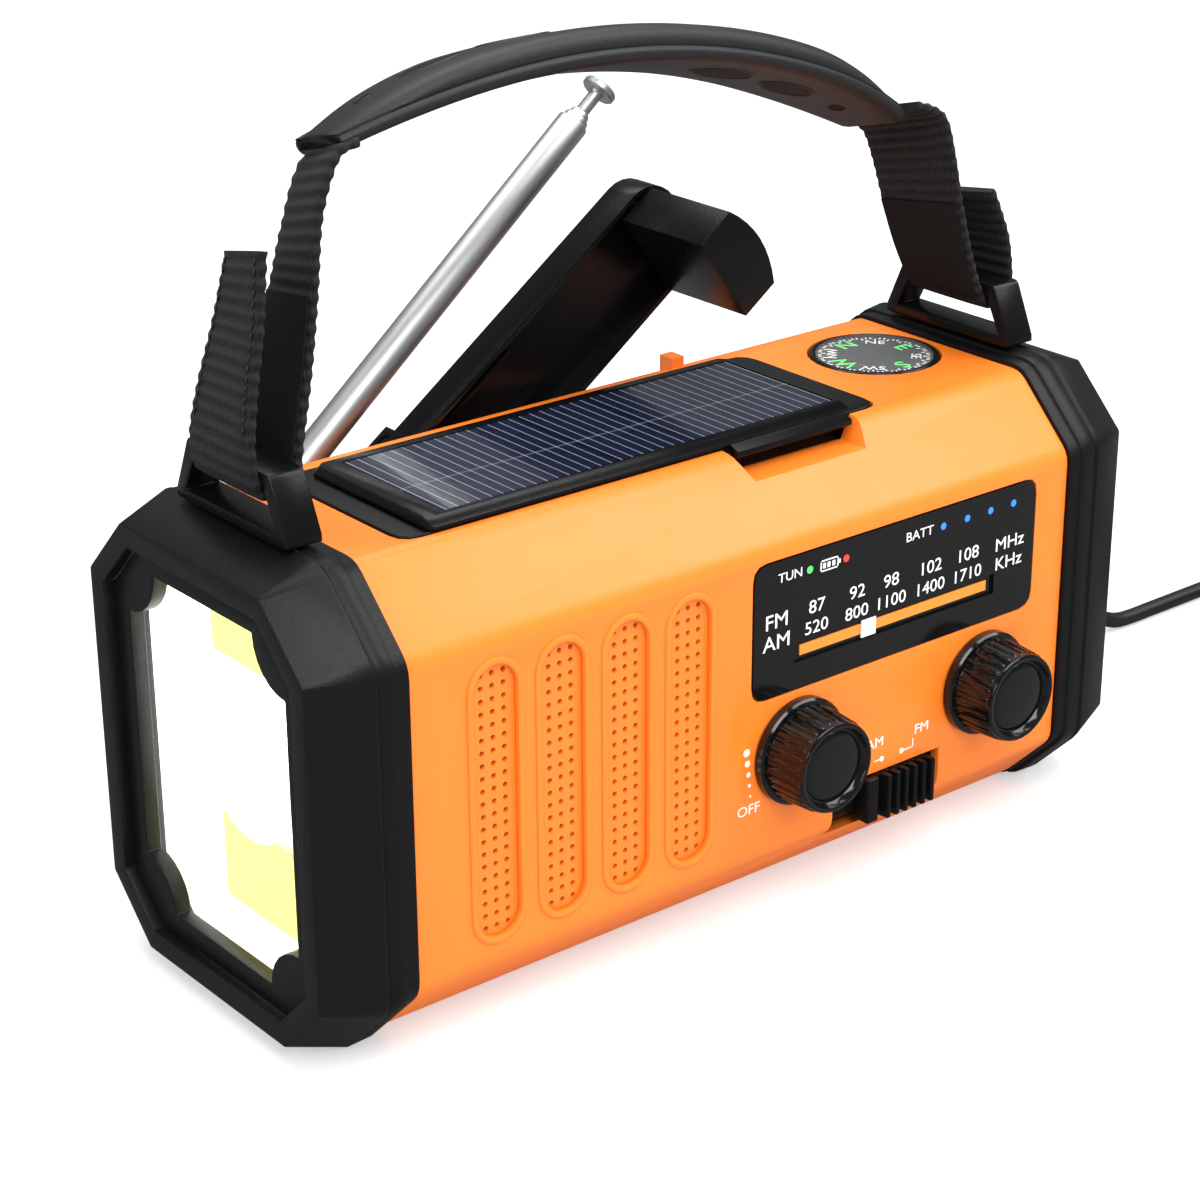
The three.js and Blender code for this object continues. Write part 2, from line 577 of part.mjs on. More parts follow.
add('antenna_socket', join(
  block([ANTENNA.x - 6, RECESS.floor + GAP, ANTENNA.z - 6], [ANTENNA.x + 5, RECESS.floor + 4, ANTENNA.z + 6]),
  prism('y', circle(ANTENNA.x, ANTENNA.z, 2.4, 20), RECESS.floor + 3, 29.9),
), CHARCOAL);
add('antenna_swivel', join(
  prism('y', circle(0, 0, 3.2, 24), -3.8, 3.2),
  block([0, -2.2, -2.6], [TILT.along + 2.2, 2.2, -1.3]),
  block([0, -2.2, 1.3], [TILT.along + 2.2, 2.2, 2.6]),
  prism('z', circle(TILT.along, 0, 0.8, 12), -2, 2),
), STEEL, antenna);

function tube(outer, inner, from, to, closedEnd) {
  const profile = [[0, from], [outer, from], [outer, to], [inner, to], [inner, from + 1.2], [0, from + 1.2]];
  const rod = [[0, from], [outer, from], [outer, to - 5], [1, to - 5], [1, to - 2.4], [2.9, to - 2.2], [2.9, to - 0.3],
    [2.3, to], [0, to]];
  const geometry = turned(closedEnd ? rod : profile, 0, 0, 20);
  return geometry.rotateZ(-Math.PI / 2);
}
function withTongue(piece) {
  const tongue = join(
    block([TILT.along, -TILT.tongue, -1], [ANTENNA.tubeStart + 0.5, TILT.tongue, 1]),
    prism('z', circle(TILT.along, 0, TILT.tongue, 16), -1, 1),
  );
  return cut(join(piece, tongue), prism('z', circle(TILT.along, 0, 1.1, 12), -3, 3));
}
const ends = [ANTENNA.tubeEnd, ANTENNA.tubeEnd + 1.2, ANTENNA.tubeEnd + 2.4, ANTENNA.reach];
TUBE_RADII.forEach((radius, i) => {
  const isRod = i === TUBE_RADII.length - 1;
  const inner = isRod ? 0 : TUBE_RADII[i + 1] + 0.15;
  const piece = tube(radius, inner, ANTENNA.tubeStart + 1.5 * i, ends[i], isRod);
  add(`antenna_tube_${i + 1}`, i === 0 ? withTongue(piece) : piece, STEEL, antenna);
});

// ---- solar lid ----------------------------------------------------------------------------------------
const wellFloor = 83.2;
add('solar_bezel', cut(
  join(
    prism('z', rounded(box2(BEZEL.left, BEZEL.front, BEZEL.right, BEZEL.back), BEZEL.radius, 4), 85.3, BEZEL.top),
    block([BEZEL.left + 4, BEZEL.front + 1.4, wellFloor - 1.2], [BEZEL.right - 4, BEZEL.back - 1.6, 86]),
  ),
  block([LID.left + 1, BEZEL.front + 2.8, wellFloor], [LID.right - 0.6, LID.back - 0.2, 90]),
), CHARCOAL);

function solarLid() {
  const bevel = 2.2;
  const low = rounded(box2(LID.left, LID.front, LID.right, LID.back), 1.4, 2);
  const high = rounded(box2(LID.left + 1.2, LID.front + bevel, LID.right - 0.5, LID.back), 1.4, 2);
  const plate = loft([
    low.map(([x, y]) => [x, y, LID.bottom]), low.map(([x, y]) => [x, y, LID.bottom + 0.5]),
    high.map(([x, y]) => [x, y, LID.top]),
  ]);
  const skirt = block([LID.left + 2, BEZEL.front + 3.6, 84.6], [LID.right - 1.4, LID.back - 1.6, LID.bottom + 0.2]);
  const tabProfile = [[LID.front + 0.6, LID.bottom + 0.4], [LID.front - 2.2, 87.2], [LID.front - 2.2, 86.2],
    [LID.front - 0.6, 85.2], [LID.front - 0.2, LID.bottom + 0.1]];
  const tab = prism('x', tabProfile, NOTCH.left + 2.6, NOTCH.right - 2.6);
  return cut(
    join(plate, skirt, tab),
    block([LID.left + 5.4, LID.front + 3.4, LID.top - 0.7], [LID.right - 1.6, LID.back - 2, LID.top + 1]),
    block([LID.left + 3.6, BEZEL.front + 5, 80], [LID.right - 3, LID.back - 3, 86.4]),
  );
}
add('solar_lid', solarLid(), GLOSS_BLACK);
add('solar_cell', block([LID.left + 5.7, LID.front + 3.7, LID.top - 0.45], [LID.right - 1.9, LID.back - 2.3, LID.top - 0.1]),
  SOLAR_BLUE);
add('reading_lamp_panel', block([LID.left + 4, BEZEL.front + 5.4, 85], [LID.right - 3.4, LID.back - 3.4, 86.1]), WHITE);

// ---- compass -----------------------------------------------------------------------------------------------
const compassFloor = BODY.top - COMPASS.depth;
add('compass_cup', cut(
  prism('z', circle(COMPASS.x, COMPASS.y, COMPASS.radius + 0.5), compassFloor, BODY.top + 0.1),
  prism('z', circle(COMPASS.x, COMPASS.y, COMPASS.radius - 0.3), compassFloor + 1.2, 90),
), GLOSS_BLACK);
add('compass_card', prism('z', circle(COMPASS.x, COMPASS.y, COMPASS.radius - 0.8), BODY.top - 1.6, BODY.top - 1), GLOSS_BLACK);
add('compass_dome', prism('z', circle(COMPASS.x, COMPASS.y, COMPASS.radius - 0.6), BODY.top - 0.6, BODY.top + 0.1), CLEAR);

// ---- handle ----------------------------------------------------------------------------------------------------
const handle = new THREE.Group();
handle.position.set(HANDLE.x, 0, HANDLE.z);
handle.rotation.y = rad(HANDLE.tilt);
radio.add(handle);

function handleGrip() {
  const radius = (HANDLE.halfChord ** 2 + HANDLE.rise ** 2) / (2 * HANDLE.rise);
  const sweep = Math.asin(HANDLE.halfChord / radius);
  const steps = 24;
  const rings = [];
  for (let i = 0; i <= steps; i++) {
    const share = (2 * i) / steps - 1;
    const turn = share * sweep;
    const taper = 1 - 0.35 * share ** 4;
    const half = (HANDLE.width / 2) * (1 - 0.08 * share ** 2);
    const thick = HANDLE.thickness * taper;
    const section = [[-half + 2, 0], [half - 2, 0], [half, 1.6], [half - 0.6, thick - 2], [half - 4, thick - 0.6],
      [0, thick], [-half + 4, thick - 0.6], [-half + 0.6, thick - 2], [-half, 1.6]];
    rings.push(section.map(([y, height]) => [
      (radius + height) * Math.sin(turn), y, (radius + height) * Math.cos(turn) - radius + HANDLE.rise,
    ]));
  }
  return loft(rings);
}
add('handle_grip', handleGrip(), RUBBER, handle);

// A strap in the (x, z) plane, drawn for the left side: it leaves the grip, runs down to the
// bracket's bar, goes round it and comes back up its own outer face.
function strapOutline(topX, topZ) {
  const t = STRAP.thickness;
  const inner = -BRACKET.inner + 0.4;
  const outer = -BRACKET.outer - 0.4;
  const under = BRACKET.high - 2.8 - 0.4;
  const start = [(inner + outer) / 2, BRACKET.high + 3];
  const along = (share, offset, drop = 0) => [
    start[0] + share * (topX - start[0]) + offset,
    start[1] + share * (topZ - start[1]) - drop,
  ];
  return {
    outline: [along(1, 0.9 * t, 0.6), along(1, -0.9 * t), along(0.7, -0.9 * t, -0.5), along(0.7, -3 * t, 0.5),
      along(0.3, -3.1 * t), [outer - t, start[1]], [outer - t, under - t * 0.4], [outer - t * 0.4, under - t],
      [inner + t * 0.4, under - t], [inner + t, under - t * 0.4], [inner + t, start[1]], along(0.3, 1.2 * t),
      along(0.7, t)],
    hole: [[outer, start[1] - 1], [outer, under], [inner, under], [inner, start[1] - 1], along(0.2, -0.5)],
  };
}

function strap(side, topX, topZ) {
  const { outline, hole } = strapOutline(topX, topZ);
  const mirror = ([x, z]) => [-side * x, z];
  return prism('y', outline.map(mirror), -STRAP.width / 2, STRAP.width / 2, [hole.map(mirror)]);
}

function bracket(side) {
  const outer = rounded([[-BRACKET.foot, BRACKET.low], [BRACKET.foot, BRACKET.low], [BRACKET.crown, BRACKET.high],
    [-BRACKET.crown, BRACKET.high]], 1.2, 3);
  const inner = [[-BRACKET.foot + 3.4, BRACKET.low + 1.9], [BRACKET.foot - 3.4, BRACKET.low + 1.9],
    [BRACKET.crown - 1.8, BRACKET.high - 2.8], [-BRACKET.crown + 1.8, BRACKET.high - 2.8]];
  const [from, to] = side < 0 ? [-BRACKET.outer, -BRACKET.inner] : [BRACKET.inner, BRACKET.outer];
  return prism('x', outer, from, to, [inner]);
}

add('strap_bracket_left', bracket(-1), CHARCOAL);
add('strap_bracket_right', bracket(1), CHARCOAL);
add('strap_left', strap(-1, -66.8, STRAP.leftTop), WEBBING);
add('strap_right', strap(1, -61, STRAP.rightTop), WEBBING);

// ---- port end --------------------------------------------------------------------------------------------------------
[['lamp_button', -10], ['sos_button', 10]].forEach(([name, y]) => {
  add(name, prism('x', circle(y, 60, 5, 24), 91.6, 94.9), RUBBER);
});
add('port_door', join(
  block([93.1, PORT.y - 11, 9.4], [94.7, PORT.y + 11, PORT.hingeZ]),
  prism('y', circle(93.9, PORT.hingeZ, 0.9, 12), PORT.y - 11, PORT.y + 11),
), RUBBER);

// ---- charging lead: plug, the stretch on the floor, coil, far plug --------------------------------------------------
const leadStart = 121.4;
const leadRoute = [[leadStart, 13, 26], [125, 13, 25.8], [130, 13, 24.2], [135, 13, 19.8], [139, 13, 14.2], [143, 13, 8.6],
  [147, 13, 4.6], [152, 13, 2.2], [158, 12.9, 1.8], [166, 12.6, 1.8], [174, 12.2, 1.8], [182, 11.9, 1.8],
  [190, 11.7, 1.8]];

const plugBody = join(
  block([84, PORT.y - 6, PORT.z - 2.2], [94, PORT.y + 6, PORT.z + 2.2]),
  block([93.1, PORT.y - 7.9, PORT.z - 3.9], [112, PORT.y + 7.9, PORT.z + 3.9]),
  turned([[0, 111], [3, 111], [2.1, leadStart - GAP], [0, leadStart - GAP]], 0, 0, 16).rotateZ(-Math.PI / 2)
    .translate(0, PORT.y, PORT.z),
);
add('lead_plug', plugBody, CHARCOAL);

function tubeAlong(points, radius, steps, sides) {
  const curve = new THREE.CatmullRomCurve3(points.map((p) => new THREE.Vector3(...p)));
  const section = new THREE.Shape(circle(0, 0, radius, sides).map(([u, v]) => new THREE.Vector2(u, v)));
  return closed(new THREE.ExtrudeGeometry(section, { steps, extrudePath: curve }));
}
add('lead_cable', tubeAlong(leadRoute, CABLE.radius, 14, 8), WEBBING);

const coilInner = CABLE.turnRadius - CABLE.radius * CABLE.turnsWide;
const coilOuter = CABLE.turnRadius + CABLE.radius * CABLE.turnsWide;
const coilHeight = 2 * CABLE.radius * CABLE.turnsHigh;
const coil = turned([[coilInner, 0.02], [coilOuter, 0.02], [coilOuter, coilHeight], [coilInner, coilHeight],
  [coilInner, 0.02]], 0, 0, 32);
add('lead_coil', coil.rotateX(Math.PI / 2).translate(CABLE.coilX, CABLE.coilY, 0), WEBBING);

const farPlug = join(
  block([-4.2, 8, 0.02], [4.2, 24, 6]),
  block([-4.2 + 0.3, 23, 1.7], [4.2 - 0.3, 31, 4.2]),
  turned([[0, 0], [1.9, 0], [2.6, 8.5], [0, 8.5]], 0, 0, 16).translate(0, 0, 2.65),
);
farPlug.rotateZ(Math.PI).translate(CABLE.coilX + coilOuter + 3, CABLE.coilY - 14, 0);
add('far_plug', farPlug, CHARCOAL);

radio.position.y = FRONT_OVERHANG / 2;

export default radio;
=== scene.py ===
"""The finished look of a hand-crank emergency radio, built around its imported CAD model."""
import json
import math

import bmesh
import bpy
from mathutils import Matrix, Vector

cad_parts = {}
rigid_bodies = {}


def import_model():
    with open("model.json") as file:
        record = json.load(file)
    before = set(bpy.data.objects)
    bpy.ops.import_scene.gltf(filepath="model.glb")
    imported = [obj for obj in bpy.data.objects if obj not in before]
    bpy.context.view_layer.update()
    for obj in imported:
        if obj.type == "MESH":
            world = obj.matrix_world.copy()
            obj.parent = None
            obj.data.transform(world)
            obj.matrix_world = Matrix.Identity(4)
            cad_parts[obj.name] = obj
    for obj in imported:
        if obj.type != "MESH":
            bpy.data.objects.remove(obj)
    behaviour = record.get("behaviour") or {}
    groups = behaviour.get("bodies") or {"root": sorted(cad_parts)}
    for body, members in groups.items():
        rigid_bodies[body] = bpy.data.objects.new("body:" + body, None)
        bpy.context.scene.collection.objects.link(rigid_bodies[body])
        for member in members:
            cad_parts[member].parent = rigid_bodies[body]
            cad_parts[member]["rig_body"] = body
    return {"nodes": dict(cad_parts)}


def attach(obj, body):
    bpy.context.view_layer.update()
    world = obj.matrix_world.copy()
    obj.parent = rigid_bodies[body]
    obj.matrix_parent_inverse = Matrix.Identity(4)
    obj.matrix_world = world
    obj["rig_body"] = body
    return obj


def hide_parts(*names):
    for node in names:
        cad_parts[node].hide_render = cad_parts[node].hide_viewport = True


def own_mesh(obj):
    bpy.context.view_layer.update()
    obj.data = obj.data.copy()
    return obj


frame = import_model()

bl_info = {
    "name": "Emergency radio",
    "version": (1, 0, 0),
    "blender": (4, 5, 0),
    "location": "3D View > Sidebar > Radio",
    "description": "Builds a hand-crank emergency radio with its handle, lamp, dial and lead",
    "category": "Add Mesh",
}

MM = 0.001
MIDDLE_Y = 4.75
FRONT_Y = -36.0
MIDDLE_Z = 44.5
CAP_GROOVE_X = 83.6
SLOTS_X = -38.75
SLOTS_Z = 43.8
SLOT_HALF_HEIGHT = 0.0258
COMPASS_X = 62.6
COMPASS_Y = 2.8
ANTENNA_ROOT = (-66, 34, 68.8)
ANTENNA_ANGLE = 40
COIL_X = 207.0
COIL_Y = -11.0
COIL_OUTER = 24.3
COIL_TOP_OUTER = 23.6


# ---- places -----------------------------------------------------------------
def at(x, y, z):
    """A point in the frame, in metres, from millimetres measured from the body's middle."""
    return Vector((x, y + MIDDLE_Y, z)) * MM


def on_front(x, z, proud=0.0):
    """The place of a flat thing on the dial face, with its own Z pointing out of it."""
    return Matrix.Translation(at(x, FRONT_Y - proud, z)) @ Matrix.Rotation(math.pi / 2, 4, "X")


def on_top(x, y, z):
    return Matrix.Translation(at(x, y, z))


# ---- node trees -------------------------------------------------------------
class Value:
    """A number in a node tree, which ordinary arithmetic turns into Math nodes."""

    def __init__(self, graph, socket):
        self.graph = graph
        self.socket = socket

    def apply(self, operation, *others):
        made = self.graph.node("ShaderNodeMath", {"operation": operation},
                               dict(enumerate((self,) + others)))
        return Value(self.graph, made.outputs[0])

    def __add__(self, other):
        return self.apply("ADD", other)

    def __mul__(self, other):
        return self.apply("MULTIPLY", other)

    def __sub__(self, other):
        return self.apply("SUBTRACT", other)

    def __truediv__(self, other):
        return self.apply("DIVIDE", other)

    def __rsub__(self, other):
        return self.apply("MULTIPLY", -1.0).apply("ADD", other)

    def __abs__(self):
        return self.apply("ABSOLUTE")

    __radd__ = __add__
    __rmul__ = __mul__

    def sin(self):
        return self.apply("SINE")

    def above(self, edge):
        return self.apply("GREATER_THAN", edge)

    def below(self, edge):
        return self.apply("LESS_THAN", edge)

    def repeat(self, period):
        """The share of the way through each period, from 0 to 1."""
        return (self / period).apply("FRACT")

    def clamped(self):
        return self.apply("MAXIMUM", 0.0).apply("MINIMUM", 1.0)


class Graph:
    """A node tree with one way of adding a node: its settings first, then its sockets."""

    def __init__(self, tree):
        self.tree = tree

    def node(self, kind, settings=None, sockets=None):
        made = self.tree.nodes.new(kind)
        for name, value in (settings or {}).items():
            setattr(made, name, value)
        for name, value in (sockets or {}).items():
            self.feed(made.inputs[name], value)
        return made

    def feed(self, socket, value):
        if isinstance(value, Value):
            value = value.socket
        if isinstance(value, bpy.types.NodeSocket):
            self.tree.links.new(value, socket)
        else:
            socket.default_value = value


class Shader(Graph):
    """A material with a Principled shader, and the textures that the finishes share."""

    def __init__(self, name):
        material = bpy.data.materials.new(name)
        material.use_nodes = True
        super().__init__(material.node_tree)
        self.material = material
        self.tree.nodes.clear()
        self.surface = self.node("ShaderNodeBsdfPrincipled")
        self.node("ShaderNodeOutputMaterial", None, {"Surface": self.surface.outputs[0]})
        self.place = self.node("ShaderNodeTexCoord").outputs["Object"]

    def axes(self, vector):
        parts = self.node("ShaderNodeSeparateXYZ", None, {0: vector})
        return [Value(self, parts.outputs[i]) for i in range(3)]

    def run(self):
        """Along and across a strap, from its own UV map, in metres."""
        return self.axes(self.node("ShaderNodeUVMap", {"uv_map": "run"}).outputs[0])[:2]

    def noise(self, scale, detail=3.0, stretch=(1.0, 1.0, 1.0)):
        spread = self.node("ShaderNodeVectorMath", {"operation": "MULTIPLY"}, {0: self.place, 1: stretch})
        made = self.node("ShaderNodeTexNoise", None,
                         {"Vector": spread.outputs[0], "Scale": scale, "Detail": detail})
        return Value(self, made.outputs["Fac"])

    def mix(self, share, first, second):
        made = self.node("ShaderNodeMix", {"data_type": "RGBA"}, {0: share, 6: first, 7: second})
        return made.outputs[2]

    def finish(self, colour, roughness, height=None, depth=0.1, **constants):
        self.feed(self.surface.inputs["Base Color"], colour)
        self.feed(self.surface.inputs["Roughness"], roughness)
        if height is not None:
            bump = self.node("ShaderNodeBump", None,
                             {"Height": height, "Strength": depth, "Distance": 0.0004})
            self.feed(self.surface.inputs["Normal"], bump.outputs[0])
        for name, value in constants.items():
            self.feed(self.surface.inputs[name.replace("_", " ").title().replace("Ior", "IOR")], value)
        return self.material


def shade(colour, factor):
    return tuple(min(1.0, channel * factor) for channel in colour[:3]) + (1.0,)


def moulded(name, colour, roughness, grain=2600.0, depth=0.1, spread=0.05, marks=0.08, **constants):
    """A moulded surface: fine grain, slow changes of tone, and hairline rubbing marks."""
    made = Shader(name)
    patches = made.noise(22.0, 4.0)
    handling = made.noise(140.0, 5.0, (1.0, 1.0, 0.4))
    hairs = made.noise(900.0, 2.0, (0.06, 1.0, 1.0)).above(0.66)
    tone = made.mix(patches, shade(colour, 1 - spread), shade(colour, 1 + spread))
    rough = roughness + (patches - 0.5) * 0.1 + (handling - 0.5) * marks + hairs * marks * 0.35
    height = made.noise(grain, 3.0) + handling * 0.15
    return made.finish(tone, rough.clamped(), height, depth, **constants)


def metal(name, colour, roughness, stretch=(1.0, 1.0, 1.0), spread=0.06):
    """Drawn or turned metal, with marks along its length and faint finger smears."""
    made = Shader(name)
    drawn = made.noise(700.0, 3.0, stretch)
    smears = made.noise(45.0, 4.0)
    tone = made.mix(smears, shade(colour, 1 - spread), shade(colour, 1 + spread))
    rough = roughness + (drawn - 0.5) * 0.16 + (smears - 0.5) * 0.1
    return made.finish(tone, rough.clamped(), drawn, 0.04, metallic=1.0)


def webbing(name, colour):
    """Woven tape: cross ribs with the threads of each rib running along them, and painted highlight and
    shade along the ribs.
    """
    made = Shader(name)
    along, across = made.run()
    ribs = (along * (2 * math.pi / 0.0024)).sin()
    threads = (across * (2 * math.pi / 0.0008) + along * 1600.0).sin()
    fuzz = made.noise(3800.0, 3.0)
    # The ribs term makes the tape lighter on the rib crests and darker in the troughs between them, painted
    # highlight and shade; the fuzz term is the tape's own random tone.
    tone = made.mix((ribs * 0.25 + fuzz * 0.8).clamped(), shade(colour, 0.35), shade(colour, 2.2))
    height = ribs * 0.6 + threads * 0.35 + fuzz * 0.4
    return made.finish(tone, (0.62 + fuzz * 0.25).clamped(), height, 0.7, sheen_weight=0.03,
                       specular_ior_level=0.3)


def solar_cell(name):
    """Dark cell strips with thin silver fingers running from front to back."""
    made = Shader(name)
    x, y, _ = made.axes(made.place)
    finger = abs((x + 0.2).repeat(0.00236) - 0.5).below(0.04)
    strip = (x + 0.2).repeat(0.01652).below(0.035)
    busbar = abs(y - 0.0006).below(0.0002)
    crystals = made.noise(260.0, 3.0, (0.25, 1.0, 1.0))
    haze = made.noise(14.0, 2.0, (1.0, 0.2, 1.0))
    share = (crystals * 0.6 + haze * 0.4).clamped()
    dark = made.mix(share, (0.003, 0.005, 0.016, 1), (0.012, 0.017, 0.042, 1))
    gaps = made.mix(strip, dark, (0.004, 0.004, 0.007, 1))
    lines = (finger * 0.6 + busbar * 0.2).clamped()
    tone = made.mix(lines, gaps, (0.42, 0.45, 0.52, 1))
    return made.finish(tone, 0.12 + haze * 0.14 + lines * 0.2, crystals, 0.02, coat_weight=0.5)


def glow(name, colour, strength, body=(0.9, 0.9, 0.85)):
    made = Shader(name)
    spots = made.noise(420.0, 2.0)
    light = made.mix(spots, shade(colour, 0.9), shade(colour, 1.0))
    return made.finish(shade(body, 1), 0.4 + spots * 0.1, emission_color=light, emission_strength=strength)


def board(name):
    """Green circuit board with darker bare laminate between its copper areas."""
    made = Shader(name)
    x, _, z = made.axes(made.place)
    tracks = abs(x.repeat(0.0042) - 0.5).below(0.2) * abs(z.repeat(0.003) - 0.5).below(0.28)
    patches = made.noise(120.0, 4.0)
    tone = made.mix((tracks * 0.7 + patches * 0.3).clamped(), (0.01, 0.09, 0.035, 1), (0.03, 0.26, 0.1, 1))
    return made.finish(tone, 0.45 + patches * 0.1, tracks, 0.2)


def clear(name, alpha, light=0.0):
    made = Shader(name)
    smears = made.noise(60.0, 4.0)
    tone = made.mix(smears, (0.9, 0.93, 0.95, 1), (1, 1, 1, 1))
    # The light argument makes the clear part give out white light of its own: painted glow for lamp light
    # caught in it.
    return made.finish(tone, 0.04 + smears * 0.05, smears, 0.02, alpha=alpha,
                       emission_color=(1, 1, 0.98, 1), emission_strength=light)


def floor(name):
    """A pale floor that lights the radio from below but shows dark in its glossy surfaces."""
    made = Shader(name)
    patches = made.noise(3.0, 2.0)
    glossy = Value(made, made.node("ShaderNodeLightPath").outputs["Is Glossy Ray"])
    pale = made.mix(patches, (0.46, 0.463, 0.466, 1), (0.48, 0.483, 0.486, 1))
    tone = made.mix(glossy, pale, (0.12, 0.12, 0.12, 1))
    return made.finish(tone, 0.5 + patches * 0.1, specular_ior_level=0.1, emission_color=(1, 1, 1, 1),
                       emission_strength=(1.0 - glossy * 0.85) * 0.48)


ORANGE = (0.9, 0.2, 0.018)
CHARCOAL = (0.0045, 0.0047, 0.0052)
BLACK = (0.0035, 0.0035, 0.004)


def recipe(maker, *values, **options):
    """A finish that is made when it is first asked for, and named then."""
    return lambda name: maker(name, *values, **options)


FINISHES = {
    "orange": recipe(moulded, ORANGE, 0.36, spread=0.02, depth=0.07, specular_ior_level=0.4),
    "charcoal": recipe(moulded, CHARCOAL, 0.4, depth=0.12, marks=0.1, specular_ior_level=0.2),
    "gloss": recipe(moulded, BLACK, 0.12, grain=500.0, depth=0.02, marks=0.05, specular_ior_level=0.45),
    "satin": recipe(moulded, BLACK, 0.26, grain=1800.0, depth=0.06, marks=0.1, specular_ior_level=0.2),
    "rubber": recipe(moulded, (0.013, 0.0135, 0.0148), 0.48, depth=0.2, spread=0.1, specular_ior_level=0.3),
    "jacket": recipe(moulded, (0.007, 0.007, 0.0075), 0.42, depth=0.1, specular_ior_level=0.35),
    "tape": recipe(moulded, (0.006, 0.006, 0.007), 0.75, grain=5200.0, depth=0.7, specular_ior_level=0.2),
    "card": recipe(moulded, (0.004, 0.0045, 0.006), 0.6, depth=0.03, specular_ior_level=0.2),
    "webbing": recipe(webbing, (0.0055, 0.006, 0.007)),
    "antenna": recipe(metal, (0.52, 0.525, 0.53), 0.42, (0.1, 1.0, 0.1)),
    "zinc": recipe(metal, (0.5, 0.52, 0.54), 0.38),
    "brass": recipe(metal, (0.62, 0.45, 0.2), 0.3),
    "white": recipe(moulded, (0.8, 0.8, 0.78), 0.45, spread=0.03),
    "acetal": recipe(moulded, (0.62, 0.6, 0.5), 0.5),
    "wrap": recipe(moulded, (0.02, 0.08, 0.32), 0.25, grain=600.0),
    "ferrite": recipe(moulded, (0.03, 0.03, 0.034), 0.7, depth=0.4),
    "board": board,
    "solar_cell": solar_cell,
    # The lamp's lens glows faintly of itself: painted lamp light in the glass.
    "lens": recipe(clear, 0.06, 0.6),
    "dome": recipe(clear, 0.055),
    "ink": recipe(moulded, (0.85, 0.85, 0.83), 0.5, spread=0.02),
    "orange_ink": recipe(moulded, (0.9, 0.26, 0.02), 0.5, spread=0.02),
    # Green print that gives out light of its own: painted glow on the compass letters, which are no lamp.
    "green_ink": recipe(glow, (0.08, 0.85, 0.12), 0.5, (0.05, 0.7, 0.08)),
    "green_light": recipe(glow, (0.05, 0.9, 0.1), 1.2, (0.05, 0.7, 0.08)),
    "red_light": recipe(glow, (1.0, 0.03, 0.02), 1.0, (0.8, 0.03, 0.02)),
    "blue_light": recipe(glow, (0.02, 0.2, 0.95), 0.85, (0.02, 0.15, 0.7)),
    "hot_white": recipe(glow, (1.0, 0.98, 0.94), 3.4),
    # Glowing white for the lamp's reflector and side wall: painted lamp light and reflection, as these parts
    # are no lamp.
    "lamp_wall": recipe(glow, (1.0, 1.0, 0.97), 0.55, (0.75, 0.75, 0.72)),
    "hot_led": recipe(glow, (1.0, 0.99, 0.95), 12.0),
    "phosphor": recipe(glow, (0.95, 0.88, 0.13), 0.8, (0.8, 0.74, 0.08)),
    "floor": floor,
}
CAD_FINISH = {
    # The reflector takes the glowing white in place of a mirror: painted reflection of the lamp.
    "lamp_board": "hot_white", "lamp_lens": "lens", "lamp_reflector": "lamp_wall",
    "cob_panel_upper": "phosphor", "cob_panel_lower": "phosphor", "lamp_frame": "charcoal",
    "speaker_driver": "charcoal", "dial_window": "gloss", "tuning_pointer": "ink",
    "volume_pot": "zinc", "tuning_capacitor": "white", "band_switch_body": "charcoal",
    "main_board": "board", "battery_tray": "charcoal", "ferrite_rod": "ferrite",
    "ferrite_coil": "brass", "crank_gear": "acetal", "idler_gear": "acetal", "rotor_pinion": "brass",
    "generator_body": "zinc", "antenna_socket": "charcoal", "antenna_swivel": "antenna",
    "solar_cell": "solar_cell", "reading_lamp_panel": "white", "lead_plug": "jacket",
}
_made = {}


def finish_of(key):
    if key not in _made:
        _made[key] = FINISHES[key](key + "_finish")
    return _made[key]


# ---- meshes -----------------------------------------------------------------
def around(step, steps, radius=1.0):
    """The place of one of the even steps round a circle."""
    turn = math.tau * step / steps
    return radius * math.cos(turn), radius * math.sin(turn)


def new_object(name, mesh, finish, smooth=32.0):
    mesh.materials.clear()
    mesh.materials.append(finish_of(finish))
    mesh.shade_smooth()
    mesh.set_sharp_from_angle(angle=math.radians(smooth))
    made = bpy.data.objects.new(name, mesh)
    bpy.context.scene.collection.objects.link(made)
    return made


def from_parts(name, bm, finish, place=None, smooth=32.0):
    """An object from an edited mesh, with its faces turned outwards and its place in its mesh."""
    bmesh.ops.recalc_face_normals(bm, faces=bm.faces)
    mesh = bpy.data.meshes.new(name)
    bm.to_mesh(mesh)
    bm.free()
    if place is not None:
        mesh.transform(place)
    return new_object(name, mesh, finish, smooth)


def skin(bm, rings, closed=False, caps=True):
    """Joins matching rings of points with quads."""
    rows = [[bm.verts.new(point) for point in ring] for ring in rings]
    count = len(rows[0])
    pairs = list(zip(rows, rows[1:]))
    if closed:
        pairs.append((rows[-1], rows[0]))
    for near, far in pairs:
        for i in range(count):
            j = (i + 1) % count
            bm.faces.new((near[i], near[j], far[j], far[i]))
    if caps and not closed:
        bm.faces.new(rows[0][::-1])
        bm.faces.new(rows[-1])


def turned(bm, profile, sides=48):
    """A lathed shape about Z from (radius, height) pairs in millimetres; on-axis ends become points."""
    rows = []
    for radius, height in profile:
        if radius == 0:
            rows.append([bm.verts.new((0, 0, height * MM))])
            continue
        rows.append([bm.verts.new((radius * MM * math.cos(2 * math.pi * i / sides),
                                   radius * MM * math.sin(2 * math.pi * i / sides), height * MM))
                     for i in range(sides)])
    for low, high in zip(rows, rows[1:]):
        for i in range(sides):
            j = (i + 1) % sides
            corners = [low[i % len(low)], low[j % len(low)], high[j % len(high)], high[i % len(high)]]
            corners = [v for k, v in enumerate(corners) if v not in corners[:k]]
            if len(corners) > 2:
                bm.faces.new(corners)


